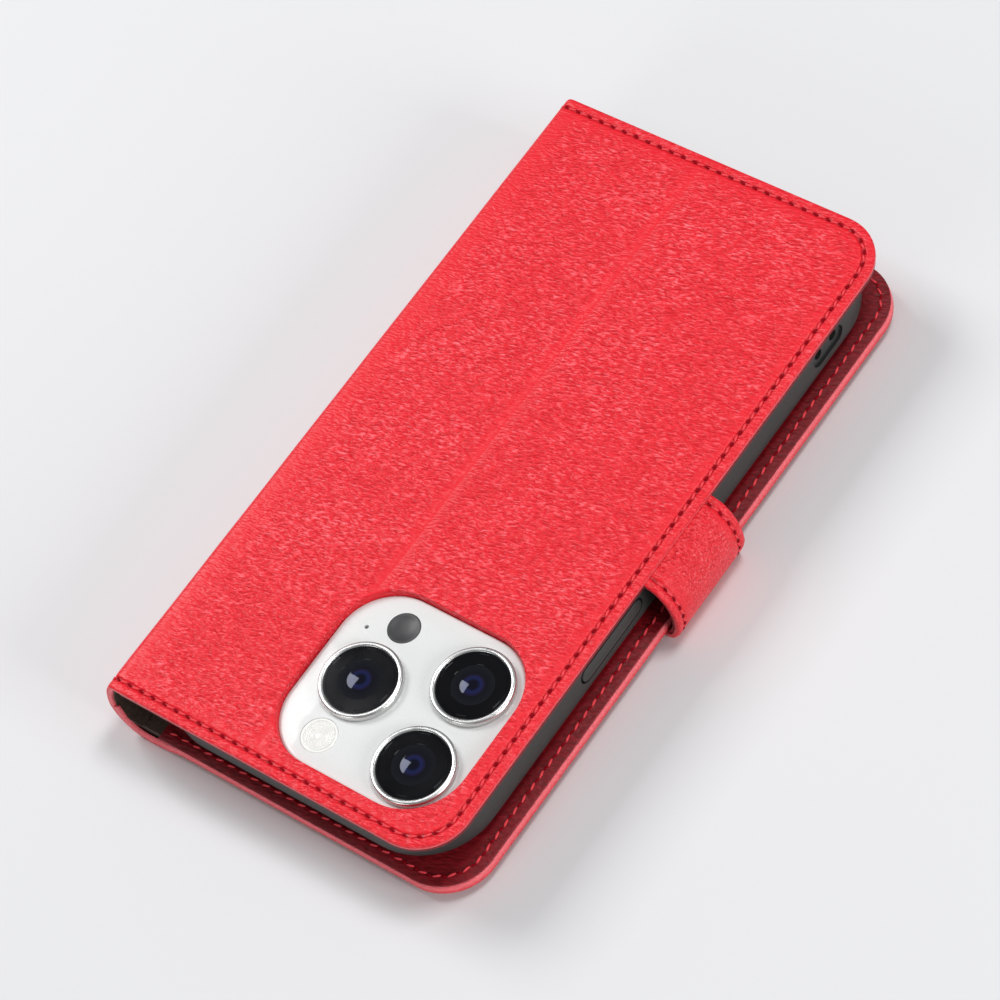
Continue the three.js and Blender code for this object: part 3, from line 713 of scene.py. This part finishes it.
# -------------------- boards and lining of the back
# Two grey boards stiffen the panel and leave a gap at the crease. The lining that hides
# them is a thinner red leather, which shows as a second layer under the panel's edge.
# Its dark red is partly its own colour and partly painted shade, for where it lies in shadow.


def paint_node(name, material):
    """Gives a part that keeps its own shape its finish."""
    part = nodes[name]
    part.data.materials.clear()
    part.data.materials.append(material)


grey_board = plain_finish(
    "grey_board", (0.40, 0.35, 0.28), (0.28, 0.24, 0.19), 900, 0.9, 0.0001, (1, 0.2, 1),
)
# Darker than the outer leather, partly as painted shade where the lining lies in shadow.
red_lining = leather(
    "red_lining", (0.14, 0.0006, 0.004), (0.21, 0.001, 0.006), (0.28, 0.005, 0.014), (0.10, 0.0005, 0.003),
    0.0006, 0.00015, 0.5,
)
for board in ("back_board_flap", "back_board_fixed", "cover_board"):
    paint_node(board, grey_board)
paint_node("back_lining", red_lining)
paint_node("strap_root", red_leather)

# -------------------- moulded phone shell
# A soft grey shell, moulded in one piece with rounded long edges and a lip round the
# screen. Cutters take out the phone's room, the camera opening, the slots for the pads,
# the port, the two speaker openings, and the lanyard's dish with its two eyes.

shell_low, shell_high = corners("phone_shell")
phone_low, phone_high = corners("phone_frame")
glass_high = corners("phone_back_glass")[1]
screen_low = corners("phone_screen")[0]
mid_height = (screen_low.z + glass_high.z) / 2
shell_corner = 15.9
phone_corner = 14.0
past_side, past_end, past_top = 41, 81, 25      # where the cutters end, outside the shell


def slab(name, box, low, high, corner, steps=12):
    """A plate with rounded corners, drawn up from one height to another."""
    piece = start_plate(name, box, low, corner, corner, steps)
    draw_out(z=high - low)
    bpy.ops.object.mode_set(mode="OBJECT")
    return piece


def bar(name, side, centre, length, height, near, far):
    """A round-ended bar through a wall: side is x or y, near and far are places on that axis."""
    corner = min(length, height) / 2 - 0.02
    box = (-length / 2, length / 2, -height / 2, height / 2)
    piece = slab(name, box, near, far, corner, 8)
    for vertex in piece.data.vertices:
        across, up, through = vertex.co
        if side == "x":
            vertex.co = (through, across + centre, up + mid_height)
        else:
            vertex.co = (centre - across, through, up + mid_height)
    return piece


def carve(piece, *cutters):
    """Takes each cutter's shape out of the piece."""
    only(piece)
    for cutter in cutters:
        hole = piece.modifiers.new("hole", "BOOLEAN")
        hole.operation = "DIFFERENCE"
        hole.solver = "EXACT"
        hole.object = cutter
        bpy.ops.object.modifier_apply(modifier=hole.name)
        bpy.data.objects.remove(cutter)


rounding = [(0.12, 0.9), (0.2, 0.65), (0.3, 0.5), (0.4, 0.35), (0.5, 0.2)]
round_depth = sum(rise for _, rise in rounding)
phone_shell = start_plate(
    "soft_shell", grown(shell_low, shell_high, 0), shell_low.z + round_depth, shell_corner, shell_corner, 16,
)
draw_out(z=shell_high.z - shell_low.z - 2 * round_depth)
for up in (1, -1):
    pick(phone_shell, "FACE", lambda face: face.normal.z * up > 0.9)
    step_in(rounding)
bpy.ops.object.mode_set(mode="OBJECT")
lip = 1.3
room_low, room_high = screen_low.z - 0.1, glass_high.z + 0.1
carve(
    phone_shell,
    slab("room", grown(phone_low, phone_high, 0.1), room_low, room_high, phone_corner, 14),
    slab("screen_opening", grown(phone_low, phone_high, -lip), 0, screen_low.z, phone_corner - lip, 14),
    slab("camera_opening", grown(window_low, window_high, 0.25), glass_high.z, past_top, plateau_corner, 14),
)
pads = {name: corners(name + "_button") for name in ("power", "action", "volume_up", "volume_down")}
pad_gap = 0.45
for name, (low, high) in pads.items():
    length, tall = high.y - low.y + 2 * pad_gap, high.z - low.z + 2 * pad_gap
    near, far = (phone_high.x - 0.5, past_side) if low.x > 0 else (-past_side, phone_low.x + 0.5)
    carve(phone_shell, bar("slot", "x", (low.y + high.y) / 2, length, tall, near, far))
lanyard_y, eye_spacing, eye_width, dish_depth = 55.6, 5.2, 2.3, 0.7
carve(phone_shell, bar("dish", "x", lanyard_y, 10.4, 4.6, shell_high.x - dish_depth, past_side))
for side in (-1, 1):
    eye_y = lanyard_y + side * eye_spacing / 2
    carve(phone_shell, bar("eye", "x", eye_y, eye_width, eye_width, phone_high.x + 0.12, past_side))
for x, height in ((0, 5.6), (-18.5, 2.6), (18.5, 2.6)):
    carve(phone_shell, bar("opening", "y", x, 13, height, phone_high.y - 0.5, past_end))
soft_grey = plain_finish("soft_grey", (0.027, 0.027, 0.026), (0.036, 0.036, 0.035), 2600, 0.5, 0.00003)
set_down(phone_shell, [soft_grey], "back", 38)
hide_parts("phone_shell")

# -------------------- button pads
# Four pads of the same soft grey, each a crowned island in its slot that presses the
# phone's own metal key behind it.

for name, (low, high) in pads.items():
    side = 1 if low.x > 0 else -1
    length, tall = high.y - low.y, high.z - low.z
    outline, corner = (-length / 2, length / 2, -tall / 2, tall / 2), tall / 2 - 0.02
    pad = start_plate(name + "_pad_cap", outline, 0, corner, corner, 10)
    draw_out(z=high.x - low.x - 0.3)
    step_in([(0.06, 0.12), (0.12, 0.1), (0.22, 0.06), (0.5, 0.02)])
    bpy.ops.object.mode_set(mode="OBJECT")
    for vertex in pad.data.vertices:
        across, up, out = vertex.co
        inner = low.x if side > 0 else high.x
        vertex.co = (inner + side * out, (low.y + high.y) / 2 + side * across, up + mid_height)
    set_down(pad, [soft_grey], name + "_pad", 40)
    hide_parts(name + "_button")

# -------------------- phone
# A plain phone in the shell: a brushed metal band with its keys, a satin glass back and a
# black glass front, each with softly rounded edges.

brushed_metal = plain_finish(
    "brushed_metal", (0.70, 0.70, 0.68), (0.60, 0.60, 0.585), 1500, 0.3, 0.00002, (1, 0.05, 1), metallic=1.0,
)
white_glass = plain_finish(
    "white_glass", (0.73, 0.74, 0.73), (0.70, 0.71, 0.705), 1400, 0.3, 0.000006, coat=0.35,
)
black_glass = plain_finish(
    "black_glass", (0.002, 0.002, 0.003), (0.004, 0.004, 0.006), 60, 0.08, 0.0000003, specular=0.25,
)


def soften(piece, radius, segments, height=None):
    """Rounds the level edges of a plate, or only those at one height."""
    def is_wanted(edge):
        first, second = (end.co.z for end in edge.verts)
        return abs(first - second) < 1e-3 and (height is None or abs(first - height) < 1e-3)

    only(piece)
    bpy.ops.object.mode_set(mode="EDIT")
    pick(piece, "EDGE", is_wanted)
    bpy.ops.mesh.bevel(offset=radius, segments=segments, clamp_overlap=False)
    bpy.ops.object.mode_set(mode="OBJECT")


phone_outline = grown(phone_low, phone_high, 0)
phone_band = slab("phone_band", phone_outline, phone_low.z, phone_high.z, phone_corner, 16)
soften(phone_band, 0.7, 4)
for name, (low, high) in pads.items():
    near, far = (phone_high.x - 1.2, past_side) if low.x > 0 else (-past_side, phone_low.x + 1.2)
    length = (high.y - low.y) * 0.7 + 0.2
    carve(phone_band, bar("key_seat", "x", (low.y + high.y) / 2, length, 2.8, near, far))
carve(phone_band, bar("socket", "y", 0, 9, 3.2, phone_high.y - 6.5, past_end))
for x in [side * (12 + 3.2 * step) for side in (-1, 1) for step in range(5)]:
    carve(phone_band, bar("speaker_hole", "y", x, 1.7, 1.7, phone_high.y - 2.5, past_end))
set_down(phone_band, [brushed_metal], "back", 40)
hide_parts("phone_frame")
for key in ("power_key", "action_key", "volume_up_key", "volume_down_key"):
    paint_node(key, brushed_metal)

for name, material, slot, up in (
    ("phone_back_glass", white_glass, "phone_back", 1), ("phone_screen", black_glass, "black_glass", -1),
):
    low, high = corners(name)
    sheet = slab(name + "_sheet", grown(low, high, 0), low.z, high.z, phone_corner, 16)
    soften(sheet, 0.35, 4, high.z if up > 0 else low.z)
    set_down(sheet, [material], "back", 40)
    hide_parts(name)

# -------------------- camera plateau
# A raised block of the same satin glass with a rolled edge. It holds three lenses, a dark
# depth sensor, a flash under a ringed window, and a tiny microphone hole.


def turned(name, centre, profile, steps=64):
    """A round piece, closed at both ends: a disc drawn out through its profile's radii and heights."""
    x, y = centre
    radius, height = profile[0]
    bpy.ops.object.select_all(action="DESELECT")
    bpy.ops.mesh.primitive_circle_add(vertices=steps, radius=radius, fill_type="NGON", location=(0, 0, 0))
    piece = bpy.context.object
    piece.name = piece.data.name = name
    piece.data.transform(Matrix.Translation((x, y, height)))
    bpy.ops.object.mode_set(mode="EDIT")
    bpy.ops.mesh.select_mode(type="FACE")
    bpy.ops.mesh.select_all(action="SELECT")
    for next_radius, next_height in profile[1:]:
        draw_out(z=next_height - height)
        grow = next_radius / radius
        bpy.ops.transform.resize(value=(grow, grow, 1), center_override=(x, y, 0))
        radius, height = next_radius, next_height
    bpy.ops.object.mode_set(mode="OBJECT")
    return piece


plateau_top = window_high.z
sensor_low, sensor_high = corners("depth_sensor")
flash_low, flash_high = corners("flash_window")


def centre_of(low, high):
    return (low.x + high.x) / 2, (low.y + high.y) / 2


plateau_box = grown(window_low, window_high, 0)
plateau = start_plate("plateau", plateau_box, window_low.z, plateau_corner, plateau_corner, 18)
rolled_edge = [(0.03, 0.16), (0.07, 0.14), (0.12, 0.11), (0.18, 0.08), (0.25, 0.04), (0.3, 0.02)]
draw_out(z=plateau_top - window_low.z - sum(rise for _, rise in rolled_edge))
step_in(rolled_edge)
bpy.ops.object.mode_set(mode="OBJECT")
sensor_centre, flash_centre = centre_of(sensor_low, sensor_high), centre_of(flash_low, flash_high)
sensor_radius = (sensor_high.x - sensor_low.x) / 2
flash_radius = (flash_high.x - flash_low.x) / 2
plateau_centre = centre_of(window_low, window_high)
microphone = (plateau_centre[0] - 16.3, plateau_centre[1] + 10.2)
seat_gap = 0.05
microphone_radius, microphone_depth = 0.45, 1.8
for centre, radius, floor, steps in (
    (sensor_centre, sensor_radius + seat_gap, sensor_low.z, 64),
    (flash_centre, flash_radius + seat_gap, flash_low.z, 64),
    (microphone, microphone_radius, plateau_top - microphone_depth, 24),
):
    carve(plateau, turned("seat", centre, [(radius, floor), (radius, past_top)], steps))
set_down(plateau, [white_glass], "back", 30)
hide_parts("camera_plateau")

sensor_black = plain_finish(
    "sensor_black", (0.036, 0.036, 0.038), (0.044, 0.044, 0.047), 500, 0.42, 0.000002,
)
top = sensor_high.z
sensor_disc = turned("sensor_disc", sensor_centre, [
    (sensor_radius, sensor_low.z), (sensor_radius, top - 0.12), (sensor_radius - 0.12, top),
    (sensor_radius - 0.6, top), (sensor_radius - 0.7, top - 0.05), (0.2, top - 0.05),
])
set_down(sensor_disc, [sensor_black], "back", 30)
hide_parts("depth_sensor")

flash_cream = plain_finish(
    "flash_cream", (0.90, 0.90, 0.87), (0.84, 0.84, 0.80), 700, 0.22, 0.000004, coat=0.9,
)
top = flash_high.z
rings = [(flash_radius, flash_low.z), (flash_radius, top - 0.1), (flash_radius - 0.1, top)]
rings += [(flash_radius - 0.45, top), (flash_radius - 0.6, top - 0.22)]
for reach in spaced(flash_radius - 0.8, -0.42, 6):
    rings += [(reach, top - 0.08), (reach - 0.2, top - 0.2)]
rings += [(0.3, top - 0.12)]
flash_disc = turned("flash_disc", flash_centre, rings)
set_down(flash_disc, [flash_cream], "back", 20)
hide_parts("flash_window")

# -------------------- lenses
# Three equal lenses. Each is a polished metal ring round a flat black glass with a few fine
# steps in it, and in its middle is the front element, a low coated dome whose blue ring is
# painted into its base colour: a painted reflection of the coating.

bright_metal = plain_finish(
    "bright_metal", (0.68, 0.68, 0.67), (0.62, 0.62, 0.615), 300, 0.28, 0.000002, metallic=1.0,
)
coated, tree, surface = blank_finish("coated_element")
# Painted reflection: a blue ring in the element's base colour stands for its coating's blue reflection.
painted_blue_reflection = shade_by(tree, node(tree, "Attribute", attribute_name="reach").outputs["Fac"], (
    (0.0, (0.002, 0.002, 0.004)), (0.22, (0.003, 0.003, 0.010)), (0.36, (0.009, 0.013, 0.060)),
    (0.48, (0.010, 0.007, 0.028)), (0.56, (0.004, 0.004, 0.006)), (1.0, (0.008, 0.008, 0.010)),
))
tree.links.new(painted_blue_reflection, surface["Base Color"])
surface["Roughness"].default_value = 0.05
surface["Specular IOR Level"].default_value = 0.35
surface["Specular Tint"].default_value = (0.75, 0.8, 1.0, 1)

colour_reach, coated_radius = 4.5, 4.42
for number in (1, 2, 3):
    low, high = corners(f"lens_ring_{number}")
    centre = centre_of(low, high)
    outer = (high.x - low.x) / 2
    lens_ring = turned(f"lens_{number}_ring", centre, [
        (outer, low.z), (outer, high.z - 0.35), (outer - 0.08, high.z - 0.15), (outer - 0.25, high.z - 0.03),
        (outer - 0.45, high.z), (outer - 0.75, high.z), (outer - 0.95, high.z - 0.06),
        (outer - 1.08, high.z - 0.2), (outer - 1.1, low.z + 0.05),
    ], 72)
    set_down(lens_ring, [bright_metal], "back", 40)
    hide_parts(f"lens_ring_{number}")
    glass = outer - 1.12
    top = high.z - 0.12
    barrel = turned(f"lens_{number}_glass", centre, [
        (glass, low.z + 0.06), (glass, top - 0.06), (glass - 0.06, top), (glass - 0.5, top),
        (glass - 0.55, top - 0.06), (glass - 0.63, top - 0.06), (glass - 0.68, top),
        (glass - 0.8, top), (4.75, top), (4.6, top),
        (4.55, top - 0.05), (4.4, top - 0.05), (2.75, top - 0.05), (2.6, top - 0.05), (2.5, top - 0.04),
        (2.3, top), (1.9, top + 0.06), (1.4, top + 0.11), (0.9, top + 0.14), (0.4, top + 0.155),
    ], 72)
    marks = barrel.data.attributes.new("reach", "FLOAT", "POINT")
    for vertex, mark in zip(barrel.data.vertices, marks.data):
        apart = math.hypot(vertex.co.x - centre[0], vertex.co.y - centre[1])
        mark.value = min(1.0, apart / colour_reach)
    for face in barrel.data.polygons:
        apart = math.hypot(face.center.x - centre[0], face.center.y - centre[1])
        face.material_index = 1 if apart < coated_radius else 0
    set_down(barrel, [black_glass, coated], "back", 40)
    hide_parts(f"lens_glass_{number}")

# -------------------- spine's lining
# A dull brown cloth-backed lining inside the spine, in two lengths that meet halfway. Each
# bends with its own fold, like the leather outside it.

brown_lining = plain_finish(
    "brown_lining", (0.085, 0.050, 0.032), (0.045, 0.026, 0.018), 1700, 0.85, 0.00012,
)
lining_middle = (-44.15, 9.5)
half_width = panel_high.y - 0.6


def lining_strip(name, points, thickness=0.5):
    """A narrow sheet drawn out edge by edge along a line in x and z."""
    line = smooth_path(points, 5)
    bpy.ops.object.select_all(action="DESELECT")
    bpy.ops.mesh.primitive_plane_add(size=2, location=(0, 0, 0))
    piece = bpy.context.object
    piece.name = piece.data.name = name
    for vertex in piece.data.vertices:
        at = line[0] if vertex.co.x < 0 else line[1]
        vertex.co = (at.x, math.copysign(half_width, vertex.co.y), at.y)
    bpy.ops.object.mode_set(mode="EDIT")
    end = Vector((line[1].x, 0, line[1].y))
    pick(piece, "EDGE", lambda edge: (middle(edge) - end).length < 1e-3)
    for before, after in zip(line[1:], line[2:]):
        draw_out(x=after.x - before.x, z=after.y - before.y)
    slice_at(1, spaced(8 - half_width, 8, 19))
    bpy.ops.object.mode_set(mode="OBJECT")
    thicken(piece, thickness)
    return piece


upper_lining = lining_strip("spine_lining_upper", [
    lining_middle, (-43.7, 12.4), (-42.75, 15.2), (-41.6, 17.0), (-40.3, 17.75), (-38.9, 17.95),
])
set_down(upper_lining, [brown_lining], smooth=60)
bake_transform(upper_lining, "back", "spine", **back_fold)
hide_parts("spine_lining")
cover_fold = {"start": (-0.0443, 0, 0.0044), "end": (-0.0416, 0, 0.0007)}
lower_lining = lining_strip("spine_lining_lower", [
    (-39.0, 4.6), (-40.6, 4.75), (-42.3, 5.2), (-43.6, 6.7), lining_middle,
])
set_down(lower_lining, [brown_lining], smooth=60)
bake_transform(lower_lining, "spine", "front_cover", **cover_fold)
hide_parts("spine_lining")

# -------------------- front cover and half the spine
# The second sheet of red leather: up from the table round the roll beside the spine, with
# the same pressed border, seam and turned hem, over a board, a soft filler and a magnet.

cover_low, cover_high = corners("cover_leather")
cover_level = corners("cover_stitching")[0].z
roll_end = -23.45
cover_path = smooth_path([
    (roll_end, cover_level), (-25.45, cover_level), (-29.45, 1.85), (-32.85, 0.66), (-36.45, 0.06),
    (-39.25, 0.16), (-41.65, 0.75), (-43.2, 2.15), (-44.3, 3.9), (-45.14, 6.0), spine_middle,
])
cover_left = roll_end - path_length(cover_path)
cover_box = (cover_left - spare, cover_high.x, cover_low.y, cover_high.y)
cover_skin = pressed_sheet("cover_skin", cover_box, cover_level, open_corner, border)
turn_in_hem(cover_skin, cover_box, 1.95)
across = spaced(roll_end, -0.8, 21) + spaced(roll_end - 16.4, -0.4, 40) + spaced(roll_end + 3, 3, 21)
divide_sheet(across, spaced(cover_low.y + 4, 3, 51), cover_left)
for vertex in cover_skin.data.vertices:
    place = vertex.co
    if place.z > cover_level - 0.005 and abs(place.y) < wave_end:
        place.z += min(1.0, (wave_end - abs(place.y)) / fade) * waves(place)
cover_line = (cover_box, open_corner, seam_inset, cover_left + 0.4, stitch_pitch)
mark_surface(cover_skin, cover_line, cover_level)
thicken(cover_skin, skin_thickness)
lay_cover = partial(lay_along, line=cover_path, origin=roll_end, level=cover_level, way=-1, side=1)
lay_cover(cover_skin)
set_down(cover_skin, [red_leather], smooth=50)
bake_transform(cover_skin, "spine", "front_cover", **cover_fold)
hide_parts("cover_leather", "spine_leather")

cover_seam = sew("cover_seam", seam_places(*cover_line), cover_level - sunk)
lay_cover(cover_seam)
set_down(cover_seam, [thread_red, needle_hole_shade], smooth=60)
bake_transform(cover_seam, "spine", "front_cover", **cover_fold)
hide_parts("cover_stitching")

soft_foam = plain_finish("soft_foam", (0.050, 0.034, 0.024), (0.030, 0.020, 0.015), 2200, 0.95, 0.0002)
paint_node("cover_padding", soft_foam)
plated_steel = plain_finish(
    "plated_steel", (0.56, 0.57, 0.58), (0.48, 0.49, 0.50), 900, 0.3, 0.00001, (1, 0.1, 1), metallic=1.0,
)
paint_node("cover_catch_magnet", plated_steel)
paint_node("strap_magnet", plated_steel)

# -------------------- inside of the front cover
# A brown lining, a full-height cash pocket that is sewn round three sides, and three card
# pockets in steps, each with a rolled mouth, sewn down at both ends.


def leaf(name, box, low, high, left_radius, right_radius, softness=0.14):
    """A thin sheet with rounded edges all round."""
    piece = start_plate(name, box, low, left_radius, right_radius, 12)
    draw_out(z=high - low)
    bpy.ops.object.mode_set(mode="OBJECT")
    soften(piece, softness, 3)
    return piece


low, high = corners("cover_lining")
hem_width = 0.85
inside = (low.x, high.x - hem_width, low.y + hem_width, high.y - hem_width)
cover_lining = leaf("cover_lining_sheet", inside, low.z, high.z, 0, open_corner - hem_width)
set_down(cover_lining, [brown_lining], "front_cover", 40)
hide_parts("cover_lining")

low, high = corners("cash_pocket")
cash_sheet = leaf("cash_sheet", grown(low, high, 0), low.z, high.z, 0, open_corner)
set_down(cash_sheet, [red_lining], "front_cover", 40)
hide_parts("cash_pocket")
cash_line = (cover_box, open_corner, seam_inset, low.x + 1.0, stitch_pitch)
cash_seam = sew("cash_seam", seam_places(*cash_line), high.z + 0.12, dip=0.12)
set_down(cash_seam, [thread_red, needle_hole_shade], "front_cover", 60)
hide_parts("cash_pocket_stitching")

pocket_leather = leather(
    "pocket_leather", (0.42, 0.001, 0.008), (0.60, 0.004, 0.018), (0.72, 0.018, 0.040),
    (0.10, 0.0005, 0.003), 0.0006, 0.00020, 0.45,
)
pocket_places = []
for number in (1, 2, 3):
    low, high = corners(f"card_pocket_{number}")
    pocket = leaf(f"card_sheet_{number}", grown(low, high, 0), low.z, high.z, 3, 3, 0.12)
    set_down(pocket, [pocket_leather], "front_cover", 40)
    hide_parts(f"card_pocket_{number}")
    pocket_places.append((low.x, high.x, high.y, high.z))
card_pitch = 2.6
for side, name in ((-1, "near"), (1, "far")):
    tops = []
    for index, (left, right, half, top) in enumerate(pocket_places):
        end = pocket_places[index + 1][0] if index < 2 else right - 1.2
        count = int((end - left - 0.6) / card_pitch)
        row = [(x, side * (half - 1.35), 0.0) for x in spaced(left + 1.4, card_pitch, count)]
        tops.append(sew(f"card_seam_{name}_{index}", row, top + 0.1, 1.9, 0.12, 0.2, 0.1))
    only(tops[0])
    for other in tops[1:]:
        other.select_set(True)
    bpy.ops.object.join()
    tops[0].name = f"card_seam_{name}"
    set_down(tops[0], [thread_red, needle_hole_shade], "front_cover", 60)
    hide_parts(f"card_pocket_stitching_{name}")

# -------------------- strap
# A doubled band of the same leather from the back panel, round the open side and under the
# front cover, where a magnet in its round end holds it. It is cut flat, pressed, sewn along
# both sides, and laid round; its two lengths meet halfway down the side.

strap_low = corners("strap_tab_leather")[0]
strap_width = [corner[1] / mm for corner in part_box("strap_side_leather")]
strap_corner = 7
strap_seam = 2.0
strap_turns = [
    (39.55, 18.86), (40.6, 18.55), (42.64, 17.35), (44.54, 14.45), (45.5, 10.6), (45.4, 6.6),
    (44.75, 4.1), (43.75, 1.95), (42.6, 0.6), (41.1, 0.08), (39.0, 0.03), (36.5, 0.03),
]
strap_line = smooth_path(strap_turns)
bend_length = path_length(strap_line)
strap_length = bend_length + strap_turns[-1][0] - strap_low.x
strap_split = path_length(smooth_path(strap_turns[:5]))
strap_border = [
    (0.05, 0.22), (0.15, 0.16), (0.3, 0.1), (0.4, 0.04), (0.35, -0.03), (0.25, -0.1), (0.12, -0.12),
    (0.38, -0.01), (0.38, 0.01), (0.12, 0.1), (0.3, 0.1), (0.7, 0.05),
]
strap_box = (-spare, strap_length, *strap_width)
strap_level = 10.0
strap_row = (strap_box, strap_corner, strap_seam, 1.2, 2.9)


def keep_length(cut_low, cut_high, straight_cuts, along=()):
    """Cuts edges in where the band bends, and keeps one length of it, closed at its ends."""
    slice_at(0, spaced(0.5, 0.5, int(bend_length / 0.5) - 1) + straight_cuts)
    slice_at(1, along)
    trim(cut_low, True, True)
    trim(cut_high, False, True)
    bpy.ops.object.mode_set(mode="OBJECT")


lay_strap = partial(lay_along, line=strap_line, origin=0, level=strap_level, way=1, side=1)
side_fold = {"start": (0.0400, 0, 0.0189), "end": (0.0424, 0, 0.0172)}
tab_fold = {"start": (0.0449, 0, 0.0052), "end": (0.0434, 0, 0.0013)}
strap_ends = (
    ("strap_side", 0.0, strap_split, "back", "strap_side", side_fold, "strap_stitching"),
    ("strap_tab", strap_split, strap_length + 1, "strap_side", "strap_tab", tab_fold, "strap_tab_stitching"),
)
for name, cut_low, cut_high, first, second, fold, seams in strap_ends:
    band = pressed_sheet(name + "_band", strap_box, strap_level, strap_corner, strap_border, 12)
    pick(band, "EDGE", lambda edge: edge.is_boundary)
    draw_down(strap_box, ((0, 0.5), (0.06, 0.12), (0, 0.05)))
    bpy.ops.mesh.edge_face_add()
    along = spaced(strap_width[0] + 4.5, 2, 8)
    keep_length(cut_low, cut_high, spaced(bend_length, 2.5, 8), along)
    mark_surface(band, strap_row, strap_level)
    lay_strap(band)
    set_down(band, [red_leather], smooth=50)
    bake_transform(band, first, second, **fold)
    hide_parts(name + "_leather")

    inner_box = (-spare, strap_length - 0.4, strap_width[0] + 0.35, strap_width[1] - 0.35)
    inner = start_plate(name + "_inner", inner_box, strap_level - 1.95, 0, strap_corner - 0.4, 12)
    draw_out(z=0.7)
    keep_length(cut_low, cut_high, spaced(bend_length, 4, 6))
    lay_strap(inner)
    set_down(inner, [red_lining], smooth=50)
    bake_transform(inner, first, second, **fold)
    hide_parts(name + "_lining")

    stitches = [place for place in seam_places(*strap_row) if cut_low < place[0] < cut_high]
    seam = sew(name + "_seam", stitches, strap_level - 0.15)
    lay_strap(seam)
    set_down(seam, [thread_red, needle_hole_shade], smooth=60)
    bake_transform(seam, first, second, **fold)
    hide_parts(seams + "_near", seams + "_far")

# -------------------- sizes
# The box of what this scene shows, in metres.

low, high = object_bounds()
